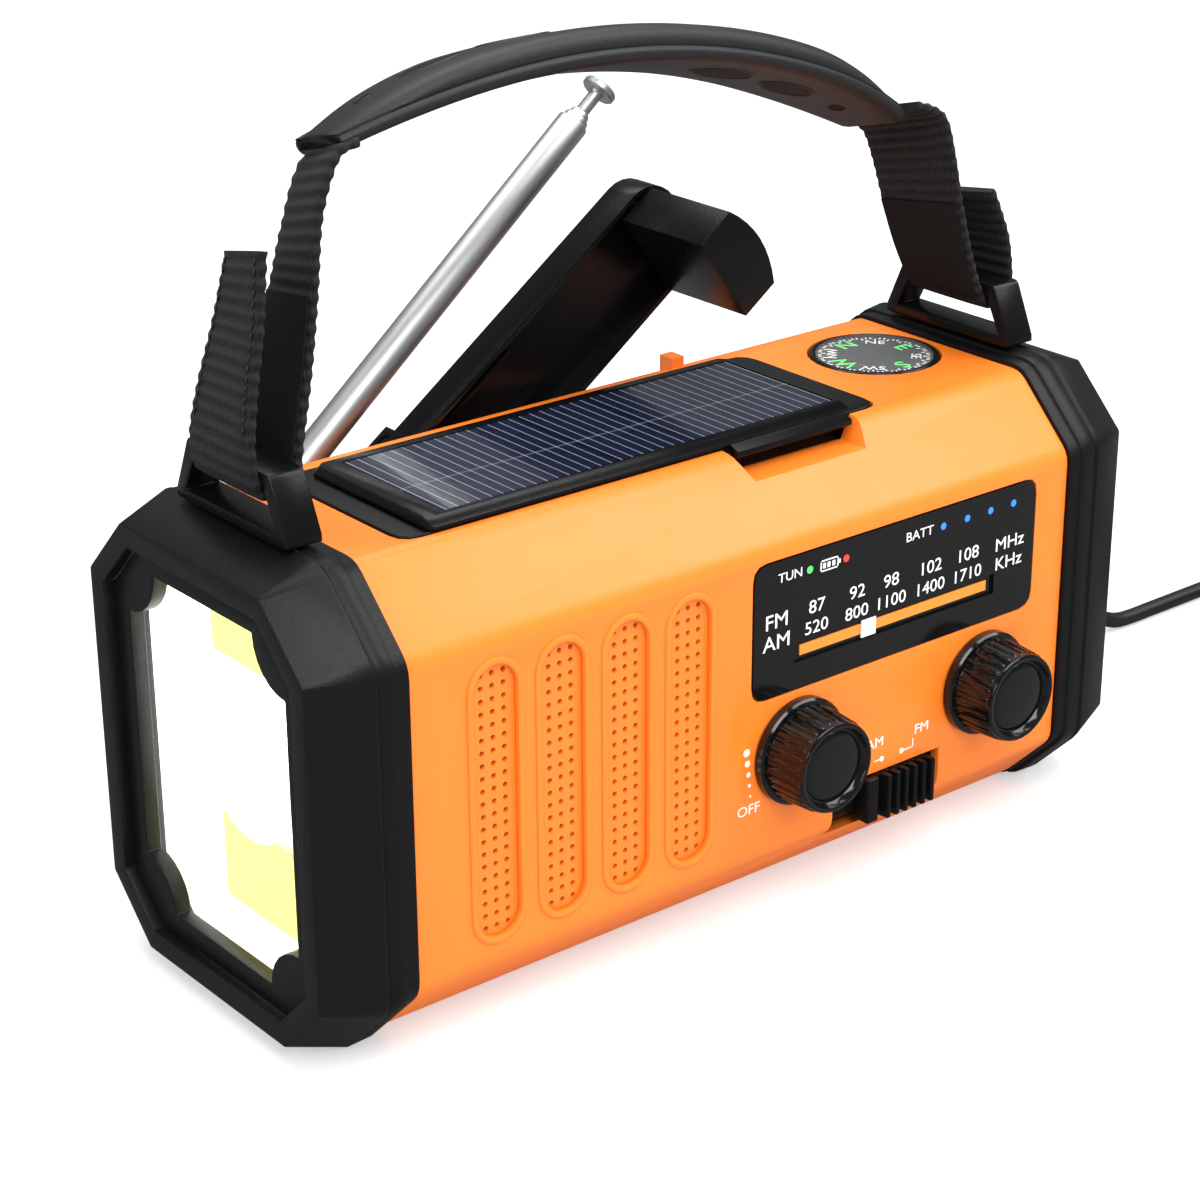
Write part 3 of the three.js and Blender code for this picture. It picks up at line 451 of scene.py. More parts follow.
def slab(bm, low, high):
    """A box between two corners, in millimetres."""
    corners = [(x, y, z) for z in (low[2], high[2]) for x, y in
               ((low[0], low[1]), (high[0], low[1]), (high[0], high[1]), (low[0], high[1]))]
    v = [bm.verts.new(Vector(c) * MM) for c in corners]
    for face in ((3, 2, 1, 0), (4, 5, 6, 7), (0, 1, 5, 4), (1, 2, 6, 5), (2, 3, 7, 6), (3, 0, 4, 7)):
        bm.faces.new([v[i] for i in face])


def evaluated_mesh(obj):
    graph = bpy.context.evaluated_depsgraph_get()
    mesh = bpy.data.meshes.new_from_object(obj.evaluated_get(graph))
    obj.modifiers.clear()
    obj.data = mesh
    return obj


def softened(node, finish, width=0.4, segments=3, smooth=38.0):
    """A CAD node again, with its sharp edges rounded over, standing in for it."""
    bm = bmesh.new()
    bm.from_mesh(frame["nodes"][node].data)
    bmesh.ops.remove_doubles(bm, verts=bm.verts, dist=2e-6)
    bmesh.ops.dissolve_limit(bm, angle_limit=math.radians(1.5), verts=bm.verts, edges=bm.edges)
    mesh = bpy.data.meshes.new(node + "_finished")
    bm.to_mesh(mesh)
    bm.free()
    made = new_object(node + "_finished", mesh, finish, smooth)
    bevel = made.modifiers.new("edges", "BEVEL")
    bevel.width = width * MM
    bevel.segments = segments
    bevel.limit_method = "ANGLE"
    bevel.angle_limit = math.radians(30)
    evaluated_mesh(made)
    made.data.shade_smooth()
    made.data.set_sharp_from_angle(angle=math.radians(smooth))
    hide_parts(node)
    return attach(made, body_of(node))


def grooved(obj, x, depth=0.4, half_width=0.3, skin_from=34):
    """Cuts a fine groove round the outside of an end cap, in the plane at x."""
    bm = bmesh.new()
    bm.from_mesh(obj.data)
    middle = at(x, 0, MIDDLE_Z)
    for shift in (-half_width, half_width, 0.0):
        place = middle + Vector((shift * MM, 0, 0))
        cut = bmesh.ops.bisect_plane(bm, geom=bm.verts[:] + bm.edges[:] + bm.faces[:], dist=1e-6,
                                     plane_co=place, plane_no=(1, 0, 0))
    bm.normal_update()
    for vert in [item for item in cut["geom_cut"] if isinstance(item, bmesh.types.BMVert)]:
        outwards = Vector((0, vert.co.y - middle.y, vert.co.z - middle.z))
        if outwards.length > skin_from * MM and vert.normal.dot(outwards) > 0:
            vert.co -= vert.normal * depth * MM
    bm.to_mesh(obj.data)
    bm.free()
    obj.data.shade_smooth()
    obj.data.set_sharp_from_angle(angle=math.radians(30))


def body_of(node):
    return frame["nodes"][node]["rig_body"]


def lettering(name, lines, finish, place_of, size, depth=0.03):
    """Printed characters, each given as (text, x, z) in millimetres, merged into one piece."""
    bm = bmesh.new()
    for text, x, z, *own in lines:
        curve = bpy.data.curves.new(name, "FONT")
        curve.body = text
        curve.size = (own[0] if own else size) * MM
        curve.align_x = "CENTER"
        curve.align_y = "CENTER"
        curve.extrude = depth * MM
        curve.resolution_u = 4
        letter = bpy.data.objects.new(name, curve)
        bpy.context.scene.collection.objects.link(letter)
        graph = bpy.context.evaluated_depsgraph_get()
        mesh = bpy.data.meshes.new_from_object(letter.evaluated_get(graph))
        turn = Matrix.Rotation(own[1], 4, "Z") if len(own) > 1 else Matrix.Identity(4)
        mesh.transform(place_of(x, z) @ turn @ Matrix.Diagonal((1.13, 1, 1, 1)))
        bm.from_mesh(mesh)
        bpy.data.objects.remove(letter)
    mesh = bpy.data.meshes.new(name)
    bm.to_mesh(mesh)
    bm.free()
    return new_object(name, mesh, finish)


# ---- repeats ----------------------------------------------------------------
def repeat_tree(name, numbers):
    """A Geometry Nodes tree that takes one piece and a list of named numbers."""
    tree = bpy.data.node_groups.new(name, "GeometryNodeTree")
    tree.interface.new_socket("Piece", in_out="INPUT", socket_type="NodeSocketGeometry")
    for label, kind, value in numbers:
        tree.interface.new_socket(label, in_out="INPUT", socket_type=kind).default_value = value
    tree.interface.new_socket("Finish", in_out="INPUT", socket_type="NodeSocketMaterial")
    tree.interface.new_socket("Copies", in_out="OUTPUT", socket_type="NodeSocketGeometry")
    graph = Graph(tree)
    return graph, graph.node("NodeGroupInput").outputs


def close_tree(graph, inputs, instances):
    real = graph.node("GeometryNodeRealizeInstances", None, {"Geometry": instances.outputs[0]})
    painted = graph.node("GeometryNodeSetMaterial", None,
                         {"Geometry": real.outputs[0], "Material": inputs["Finish"]})
    graph.node("NodeGroupOutput", None, {"Copies": painted.outputs[0]})
    return graph.tree


def grid_tree():
    """Copies on a grid, kept inside or outside a stadium outline."""
    whole, real, yes = "NodeSocketInt", "NodeSocketFloat", "NodeSocketBool"
    graph, inputs = repeat_tree("Grid of copies", [
        ("Columns", whole, 2), ("Rows", whole, 1), ("Column pitch", real, 0.01), ("Row pitch", real, 0.01),
        ("Stadium radius", real, 1.0), ("Stadium straight", real, 0.0), ("Outside", yes, False)])
    columns, rows = Value(graph, inputs["Columns"]), Value(graph, inputs["Rows"])
    points = graph.node("GeometryNodeMeshGrid", None, {
        "Size X": (columns - 1.0) * inputs["Column pitch"], "Size Y": (rows - 1.0) * inputs["Row pitch"],
        "Vertices X": columns, "Vertices Y": rows})
    parts = graph.node("ShaderNodeSeparateXYZ", None,
                       {0: graph.node("GeometryNodeInputPosition").outputs[0]})
    x, y = Value(graph, parts.outputs[0]), Value(graph, parts.outputs[1])
    beyond = (abs(y) - inputs["Stadium straight"]).apply("MAXIMUM", 0.0)
    distance = (x * x + beyond * beyond).apply("SQRT")
    outside = distance.above(inputs["Stadium radius"])
    differs = abs(outside - inputs["Outside"]).below(0.5)
    copies = graph.node("GeometryNodeInstanceOnPoints", None, {
        "Points": points.outputs["Mesh"], "Selection": differs, "Instance": inputs["Piece"]})
    return close_tree(graph, inputs, copies)


def ring_tree():
    """Copies round a circle about Z, each with its own X pointing outwards."""
    graph, inputs = repeat_tree("Ring of copies", [
        ("Count", "NodeSocketInt", 12), ("Radius", "NodeSocketFloat", 0.01)])
    points = graph.node("GeometryNodeMeshCircle", None,
                        {"Vertices": inputs["Count"], "Radius": inputs["Radius"]})
    outward = graph.node("FunctionNodeAlignEulerToVector", {"axis": "X", "pivot_axis": "Z"},
                         {"Vector": graph.node("GeometryNodeInputPosition").outputs[0]})
    copies = graph.node("GeometryNodeInstanceOnPoints", None, {
        "Points": points.outputs["Mesh"], "Instance": inputs["Piece"], "Rotation": outward.outputs[0]})
    return close_tree(graph, inputs, copies)


def repeated(piece, tree_maker, finish, **numbers):
    """Repeats a piece by one of the trees above and leaves a plain mesh."""
    tree = bpy.data.node_groups.get({"grid_tree": "Grid of copies",
                                     "ring_tree": "Ring of copies"}[tree_maker.__name__]) or tree_maker()
    modifier = piece.modifiers.new("copies", "NODES")
    modifier.node_group = tree
    values = {name.replace("_", " ").capitalize(): value for name, value in numbers.items()}
    values["Finish"] = finish_of(finish)
    for item in tree.interface.items_tree:
        if item.in_out == "INPUT" and item.name in values:
            modifier[item.identifier] = values[item.name]
    return evaluated_mesh(piece)


def settle(obj, place, body, *stands_for):
    """Puts a finished piece in its place in the frame and on its body."""
    obj.data.transform(place)
    if stands_for:
        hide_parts(*stands_for)
    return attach(obj, body)


# ---- settings ---------------------------------------------------------------
def length(name, description, value):
    return bpy.props.FloatProperty(name=name, description=description, default=value,
                                   subtype="DISTANCE", unit="LENGTH")


def number(name, description, value):
    return bpy.props.FloatProperty(name=name, description=description, default=value)


class FaceSettings(bpy.types.PropertyGroup):
    slot_pitch: length("Slot pitch", "Distance between speaker slots", 0.0141)
    slot_radius: length("Slot radius", "Half the width of a speaker slot", 0.0051)
    hole_pitch: length("Hole pitch", "Distance between perforations", 0.00235)
    hole_radius: length("Hole radius", "Radius of a perforation", 0.00052)
    knob_ribs: bpy.props.IntProperty(name="Knob ribs", description="Grip ribs round a knob", default=30)


class HandleSettings(bpy.types.PropertyGroup):
    width: length("Strap width", "Width of the webbing", 0.020)
    thickness: length("Strap thickness", "Thickness of the webbing", 0.0016)
    rib_pitch: length("Rib pitch", "Distance between the webbing's cross ribs", 0.0024)


class LeadSettings(bpy.types.PropertyGroup):
    radius: length("Cable radius", "Radius of the charging lead", 0.00175)
    turns: number("Turns", "Turns in each layer of the coil", 2.5)


class StudioSettings(bpy.types.PropertyGroup):
    key: number("Key light", "Power of the main light in watts", 12.0)
    sky: number("Surroundings", "Strength of the white room", 0.68)
    lens: number("Lens", "Focal length in millimetres", 84.8)


# ---- operators --------------------------------------------------------------
class Builder:
    """What the operators share: a name made from the class's own, and one build step."""

    bl_options = {"REGISTER", "UNDO"}

    def __init_subclass__(cls):
        stage = cls.__name__.removeprefix("RADIO_OT_")
        cls.bl_idname = "radio." + stage
        cls.bl_label = stage.replace("_", " ").capitalize()

    def execute(self, context):
        self.build(context.scene)
        return {"FINISHED"}


class RADIO_OT_camera(Builder, bpy.types.Operator):
    """Set the camera up where the radio is seen from"""

    def build(self, scene):
        azimuth, elevation = math.radians(-39.63), math.radians(22.92)
        back = Vector((math.sin(azimuth) * math.cos(elevation),
                       -math.cos(azimuth) * math.cos(elevation), math.sin(elevation)))
        right = Vector((math.cos(azimuth), math.sin(azimuth), 0))
        up = back.cross(right)
        data = bpy.data.cameras.new("camera")
        data.sensor_fit = "HORIZONTAL"
        data.sensor_width = 36.0
        data.lens = scene.radio_studio.lens
        data.shift_x = -0.0318
        data.shift_y = 0.009
        data.clip_start = 0.01
        made = bpy.data.objects.new("camera", data)
        scene.collection.objects.link(made)
        turn = Matrix((right, up, back)).transposed().to_4x4()
        made.matrix_world = Matrix.Translation(at(-310.0, -374.7, 258.1)) @ turn
        scene.camera = made


class RADIO_OT_lead(Builder, bpy.types.Operator):
    """Lay the charging lead from its plug along the floor to its coil"""

    def build(self, scene):
        settings = scene.radio_lead
        radius = settings.radius / MM
        floor = radius + 0.1
        start = [(121.2, 13, 26), (124, 13, 25.9), (128, 13, 25.1), (132, 13, 22.8), (136, 13, 18.8),
                 (140, 13, 13), (144, 13, 7.8), (148, 13, 4.2), (153, 13, 2.2), (158, 12.9, floor)]
        straight = [(158 + 5 * i, 12.9 + 0.05 * i, floor) for i in range(1, 9)]
        coil = self.coil(settings.turns, radius, floor)
        points = smooth_path([at(*p) for p in start + straight + coil], 0.0018)
        cable = tube("lead_cable_finished", points, settings.radius, "jacket", 12)
        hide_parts("lead_cable", "lead_coil")
        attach(cable, "radio_body")
        plug = softened("far_plug", "jacket", 0.5)
        softened("lead_plug", "jacket", 0.6)
        run = sum((b - a).length for a, b in zip(points, points[1:]))

    def coil(self, turns, radius, floor):
        """An inward spiral on the floor, a step up, and an outward spiral on top of it."""
        pitch = 2 * radius + 0.25
        step = math.radians(12)
        count = int(turns * 2 * math.pi / step)
        points = []
        for i in range(count + 1):
            turn = math.pi / 2 - i * step
            reach = COIL_OUTER - pitch * i * step / (2 * math.pi)
            points.append((COIL_X + reach * math.cos(turn), COIL_Y + reach * math.sin(turn), floor))
        inner = COIL_OUTER - pitch * turns
        climb = 6
        for i in range(1, climb + 1):
            turn = math.pi / 2 - (count + i) * step
            lift = pitch * (0.5 - 0.5 * math.cos(math.pi * i / climb))
            points.append((COIL_X + inner * math.cos(turn), COIL_Y + inner * math.sin(turn), floor + lift))
        first = math.pi / 2 - (count + climb) * step
        out_turns = (first + 2 * math.pi * 10) % (2 * math.pi) / (2 * math.pi) + int(turns)
        more = int(round(out_turns * 2 * math.pi / step))
        for i in range(1, more + 1):
            turn = first - i * step
            reach = inner + (COIL_TOP_OUTER - inner) * i / more
            points.append((COIL_X + reach * math.cos(turn), COIL_Y + reach * math.sin(turn),
                           floor + pitch))
        top = floor + pitch
        end_x = COIL_X + COIL_TOP_OUTER
        points += [(end_x + 0.5, COIL_Y - 4, top - 0.3), (end_x + 1.9, COIL_Y - 8.5, top - 1.6),
                   (end_x + 3.2, COIL_Y - 12, top - 2.4), (end_x + 3.65, COIL_Y - 13.7, 2.7)]
        return points


class RADIO_OT_housing(Builder, bpy.types.Operator):
    """Round over the shells, the end caps and the small moulded parts"""

    def build(self, scene):
        for node in ("front_shell", "rear_cover"):
            softened(node, "orange", 0.45)
        for node in ("left_cap", "right_cap"):
            groove = -CAP_GROOVE_X if node == "left_cap" else CAP_GROOVE_X
            grooved(softened(node, "charcoal", 0.6), groove)
        softened("lamp_frame", "charcoal", 0.3)
        for node in ("strap_bracket_left", "strap_bracket_right"):
            softened(node, "satin", 0.9)
        softened("solar_bezel", "charcoal", 0.3)
        softened("solar_lid", "satin", 0.35)
        softened("compass_cup", "gloss", 0.25)
        softened("band_slider", "satin", 0.25)
        for node in ("lamp_button", "sos_button", "port_door"):
            softened(node, "rubber", 0.4)
        for node in ("battery_cell_1", "battery_cell_2", "battery_cell_3", "battery_cell_4"):
            softened(node, "wrap", 0.7)
        for node, finish in CAD_FINISH.items():
            frame["nodes"][node].data.materials.clear()
            frame["nodes"][node].data.materials.append(finish_of(finish))


class RADIO_OT_grille(Builder, bpy.types.Operator):
    """Perforate the speaker slots and set their raised rims"""

    def build(self, scene):
        face = scene.radio_face
        pitch = face.hole_pitch / MM
        rows, columns = 23, 5
        middle = on_front(SLOTS_X, SLOTS_Z, -0.9)
        radius = face.slot_radius - 0.0011
        straight = SLOT_HALF_HEIGHT - face.slot_radius
        stadium = dict(columns=columns, rows=rows, column_pitch=face.hole_pitch, row_pitch=face.hole_pitch,
                       stadium_radius=radius, stadium_straight=straight)
        for name, maker, outside in (("grille_holes", self.holed_cell, False),
                                     ("grille_land", self.plain_cell, True)):
            cell = maker(name, pitch, face.hole_radius / MM)
            repeated(cell, grid_tree, "orange", outside=outside, **stadium)
            repeated(cell, grid_tree, "orange", columns=4, rows=1, column_pitch=face.slot_pitch)
            if name == "grille_holes":
                settle(cell, middle, "radio_body", "speaker_grille")
            else:
                settle(cell, middle, "radio_body")
        self.rims(face)
        self.cloth()

    def holed_cell(self, name, pitch, radius):
        """A square of plate with a round hole through it."""
        half = pitch * MM / 2
        bm = bmesh.new()
        rings = [[], [], []]
        for i in range(12):
            turn = math.radians(15 + 30 * i)
            direction = Vector((math.cos(turn), math.sin(turn), 0))
            rings[0].append(bm.verts.new(direction * (half / max(abs(direction.x), abs(direction.y)))))
            rings[1].append(bm.verts.new(direction * radius * MM))
            rings[2].append(bm.verts.new(direction * radius * MM - Vector((0, 0, 0.0009))))
        for near, far in zip(rings, rings[1:]):
            for i in range(12):
                j = (i + 1) % 12
                bm.faces.new((near[i], near[j], far[j], far[i]))
        mesh = bpy.data.meshes.new(name)
        bm.to_mesh(mesh)
        bm.free()
        return new_object(name, mesh, "orange", 60.0)

    def plain_cell(self, name, pitch, _):
        half = pitch * MM / 2
        mesh = bpy.data.meshes.new(name)
        mesh.from_pydata([(-half, -half, 0), (half, -half, 0), (half, half, 0), (-half, half, 0)],
                         [], [(0, 1, 2, 3)])
        return new_object(name, mesh, "orange")

    def rims(self, face):
        radius, straight = face.slot_radius + 0.0001, SLOT_HALF_HEIGHT - face.slot_radius
        path = []
        for side in (1, -1):
            for i in range(17):
                across, along = around(i, 32, radius)
                path.append(Vector((side * across, side * (straight + along), 0)))
        half, rise = 0.00068, 0.00045
        section = [(half * x, rise * y) for x, y in (around(k, 12) for k in range(7))]
        section += [(-half, -0.0006), (half, -0.0006)]
        bm = bmesh.new()
        rings = []
        for i, point in enumerate(path):
            ahead = (path[(i + 1) % len(path)] - path[i - 1]).normalized()
            out = Vector((ahead.y, -ahead.x, 0))
            rings.append([point + out * a + Vector((0, 0, b)) for a, b in section])
        skin(bm, rings, closed=True)
        rim = from_parts("slot_rims", bm, "orange")
        repeated(rim, grid_tree, "orange", columns=4, rows=1, column_pitch=face.slot_pitch)
        settle(rim, on_front(SLOTS_X, SLOTS_Z), "radio_body")

    def cloth(self):
        bm = bmesh.new()
        slab(bm, (-67, -34.0 + MIDDLE_Y, 15), (-10, -33.6 + MIDDLE_Y, 72))
        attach(from_parts("speaker_cloth", bm, "tape"), "radio_body")


class RADIO_OT_dial(Builder, bpy.types.Operator):
    """Print the dial, its lights and the marks round the controls"""

    def build(self, scene):
        glass = lambda x, z: on_front(x, z, 0.12)
        paint = lambda x, z: on_front(x, z, 0.02)
        stations = [(12.0, "87", "520"), (22.0, "92", "800"), (30.6, "98", "1100"),
                    (40.7, "102", "1400"), (50.5, "108", "1710")]
        rows = [(fm, x, 60.0) for x, fm, _ in stations] + [(am, x, 56.0, 3.5) for x, _, am in stations]
        rows += [("FM", 2.3, 59.6, 4.1), ("AM", 2.4, 55.5, 4.1), ("TUN", 5.4, 67.6, 2.5)]
        rows += [("MHz", 61.8, 59.7, 3.65), ("KHz", 61.7, 55.8, 3.65), ("BATT", 37.5, 67.4, 2.6)]
        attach(lettering("dial_print", rows, "ink", glass, 3.6), "radio_body")
        for name, finish, spots in (
                ("tuned_light", "green_light", [(10.1, 67.5)]),
                ("charge_light", "red_light", [(19.0, 67.4)]),
                ("level_lights", "blue_light", [(43.7, 67.4), (50.0, 67.4), (56.2, 67.4), (62.4, 67.4)])):
            self.spots(name, finish, [(x, z, 0.76) for x, z in spots], 0.2)
        self.battery_mark()
        bm = bmesh.new()
        slab(bm, (8.4, -35.73 + MIDDLE_Y, 51.2), (56.2, -35.5 + MIDDLE_Y, 53.2))
        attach(from_parts("scale_bar", bm, "orange_ink"), "radio_body")
        labels = [("OFF", -3.6, 24.0), ("AM", 28.0, 27.6), ("FM", 40.2, 27.3)]
        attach(lettering("control_labels", labels, "ink", paint, 2.8), "radio_body")
        volume = [(-3.2 - 0.27 * i, 26.7 + 2.25 * i, 0.24 + 0.13 * i) for i in range(5)]
        self.spots("volume_marks", "ink", volume + [(29.9, 23.9, 0.55), (35.1, 24.0, 0.55)], 0.06)
        bm = bmesh.new()
        front, back = FRONT_Y - 0.06 + MIDDLE_Y, FRONT_Y + 0.1 + MIDDLE_Y
        for x0, z0, x1, z1 in ((27.9, 23.8, 29.9, 24.0), (35.1, 23.9, 38.0, 24.1), (37.9, 24, 38.1, 25.7)):
            slab(bm, (x0, front, z0), (x1, back, z1))
        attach(from_parts("leader_lines", bm, "ink"), "radio_body")

    def spots(self, name, finish, discs, proud):
        bm = bmesh.new()
        for x, z, radius in discs:
            rings = []
            for share, lift in ((1.0, -0.15), (1.0, proud * 0.4), (0.7, proud * 0.85), (0.25, proud)):
                rings.append([on_front(x, z, lift) @ Vector((*around(i, 20, share * radius * MM), 0))
                              for i in range(20)])
            skin(bm, rings)
        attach(from_parts(name, bm, finish), "radio_body")

    def battery_mark(self):
        bm = bmesh.new()
        y0, y1 = -36.17 + MIDDLE_Y, -36.05 + MIDDLE_Y
        bars = [((12.6, 66.3), (17.0, 66.55)), ((12.6, 68.25), (17.0, 68.5)), ((12.6, 66.3), (12.85, 68.5)),
                ((16.75, 66.3), (17.0, 68.5)), ((17.1, 67.0), (17.5, 67.8)), ((13.2, 66.9), (13.9, 67.9)),
                ((14.3, 66.9), (15.0, 67.9)), ((15.5, 66.9), (16.2, 67.9))]
        for low, high in bars:
            slab(bm, (low[0], y0, low[1]), (high[0], y1, high[1]))
        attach(from_parts("battery_mark", bm, "ink"), "radio_body")


class RADIO_OT_knobs(Builder, bpy.types.Operator):
    """Turn the two ribbed knobs"""

    def build(self, scene):
        for name, body, x, z in (("volume_knob", "volume_control", 7.9, 32.9),
                                 ("tuning_knob", "tuning_control", 55.9, 32.5)):
            bm = bmesh.new()
            dish = [(0, 10.25), (2.5, 10.25), (5.6, 10.05), (6.5, 9.85), (6.8, 9.6), (7.1, 9.6), (7.35, 9.9)]
            rim = [(7.7, 10.75), (8.2, 10.9), (8.55, 10.7), (8.7, 10.2), (9.0, 2.6), (9.1, 2.35)]
            skirt = [(10.0, 2.2), (10.35, 1.8), (10.4, 0.35), (3.4, 0.35), (3.4, 7.5), (0, 7.5)]
            turned(bm, dish + rim + skirt, 72)
            settle(from_parts(name + "_body", bm, "gloss", smooth=28), on_front(x, z), body, name)
            bm = bmesh.new()
            rings = []
            for height, reach in ((2.3, 0.35), (2.5, 0.5), (9.2, 0.36), (9.9, 0.12)):
                base = 9.0 - (height - 2.3) * 0.045
                rings.append([Vector(((base - 0.25 + (reach + 0.25) * math.cos(a)) * MM,
                                      0.58 * math.sin(a) * MM, height * MM))
                              for a in (math.pi * k / 5 - math.pi / 2 for k in range(6))])
            skin(bm, rings)
            rib = from_parts(name + "_ribs", bm, "gloss")
            rib.data.transform(Matrix.Translation((-9.0 * MM, 0, 0)))
            repeated(rib, ring_tree, "gloss", count=scene.radio_face.knob_ribs, radius=9.0 * MM)
            rib.data.shade_smooth()
            settle(rib, on_front(x, z), body)


class RADIO_OT_compass(Builder, bpy.types.Operator):
    """Print the compass card and set its bubble"""

    def build(self, scene):
        card = lambda x, y: on_top(COMPASS_X + x, COMPASS_Y + y, 86.95)
        bm = bmesh.new()
        turned(bm, [(0, 0), (11.4, 0), (11.4, 0.55), (0, 0.55)], 64)
        settle(from_parts("compass_card_finished", bm, "card"), on_top(COMPASS_X, COMPASS_Y, 86.38),
               "compass_needle", "compass_card")
        north = math.radians(90)
        greens, whites = [], []
        for i, text in enumerate(("N", "E", "S", "W")):
            turn = north - i * math.pi / 2
            greens.append((text, 7.7 * math.cos(turn), 7.7 * math.sin(turn), 4.9, turn - math.pi / 2))
        for i, text in enumerate(("NE", "SE", "SW", "NW")):
            turn = north - math.pi / 4 - i * math.pi / 2
            whites.append((text, 8.1 * math.cos(turn), 8.1 * math.sin(turn), 2.9, turn - math.pi / 2))
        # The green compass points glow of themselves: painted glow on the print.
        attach(lettering("compass_points", greens, "green_ink", card, 4.5), "compass_needle")
        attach(lettering("compass_quarters", whites, "ink", card, 2.5), "compass_needle")
        for name, count, long in (("compass_ticks", 24, 1.5), ("compass_fine_ticks", 72, 0.7)):
            bm = bmesh.new()
            slab(bm, (-long / 2, -0.16, 0), (long / 2, 0.16, 0.06))
            tick = from_parts(name, bm, "ink")
            repeated(tick, ring_tree, "ink", count=count, radius=(11.0 - long / 2) * MM)
            settle(tick, on_top(COMPASS_X, COMPASS_Y, 86.92), "compass_needle")
        bm = bmesh.new()
        arc = [(11.6 * y, 1.1 + 1.5 * x) for x, y in (around(k, 32) for k in range(9))]
        turned(bm, arc + [(11.6, 0.8), (0, 0.8)], 64)
        settle(from_parts("compass_bubble", bm, "dome", smooth=60), on_top(COMPASS_X, COMPASS_Y, 86.25),
               "radio_body", "compass_dome")
        bm = bmesh.new()
        turned(bm, [(11.75, 86.0), (12.6, 86.0), (12.7, 87.1), (12.45, 87.4), (12.0, 87.4), (11.75, 87.1),
                    (11.75, 86.0)], 64)
        settle(from_parts("compass_ring", bm, "charcoal"), on_top(COMPASS_X, COMPASS_Y, 0), "radio_body")


class RADIO_OT_crank(Builder, bpy.types.Operator):
    """Finish the crank and its folding grip"""

    def build(self, scene):
        softened("crank_hub", "satin", 0.4)
        softened("crank_arm", "satin", 0.45)
        softened("crank_grip", "satin", 0.9, 4)


class RADIO_OT_antenna(Builder, bpy.types.Operator):
    """Draw the telescopic antenna"""

    def build(self, scene):
        along = Vector((math.cos(math.radians(ANTENNA_ANGLE)), 0, math.sin(math.radians(ANTENNA_ANGLE))))
        place = Matrix.Translation(at(*ANTENNA_ROOT)) @ along.to_track_quat("Z", "Y").to_matrix().to_4x4()
        for i, (outer, inner) in enumerate(((3.1, 2.6), (2.5, 2.0), (1.9, 1.4))):
            low, high = 10 + 1.5 * i, 103 + 1.2 * i
            bm = bmesh.new()
            turned(bm, [(0, low), (outer - 0.3, low), (outer, low + 0.4), (outer, high - 0.5),
                        (outer - 0.2, high - 0.12), (outer - 0.4, high), (inner, high), (inner, high - 3),
                        (0, high - 3)], 40)
            settle(from_parts(f"antenna_section_{i + 1}", bm, "antenna"), place, f"antenna_stage_{i + 1}",
                   f"antenna_tube_{i + 1}")
        bm = bmesh.new()
        rod = [(0, 14.5), (1.3, 14.5), (1.3, 109.8), (1.5, 110.1)]
        knob = [(3.1, 110.2), (3.4, 110.5), (3.4, 111.4), (3.1, 111.75), (1.6, 112.15), (0, 112.2)]
        turned(bm, rod + knob, 40)
        settle(from_parts("antenna_section_4", bm, "antenna"), place, "antenna_stage_4", "antenna_tube_4")
        bm = bmesh.new()
        slab(bm, (5, -1.5, -0.95), (10.6, 1.5, 0.95))
        root = Matrix.Translation(at(*ANTENNA_ROOT)) @ Matrix.Rotation(-math.radians(ANTENNA_ANGLE), 4, "Y")
        settle(from_parts("antenna_tongue", bm, "antenna"), root, "antenna_stage_1")


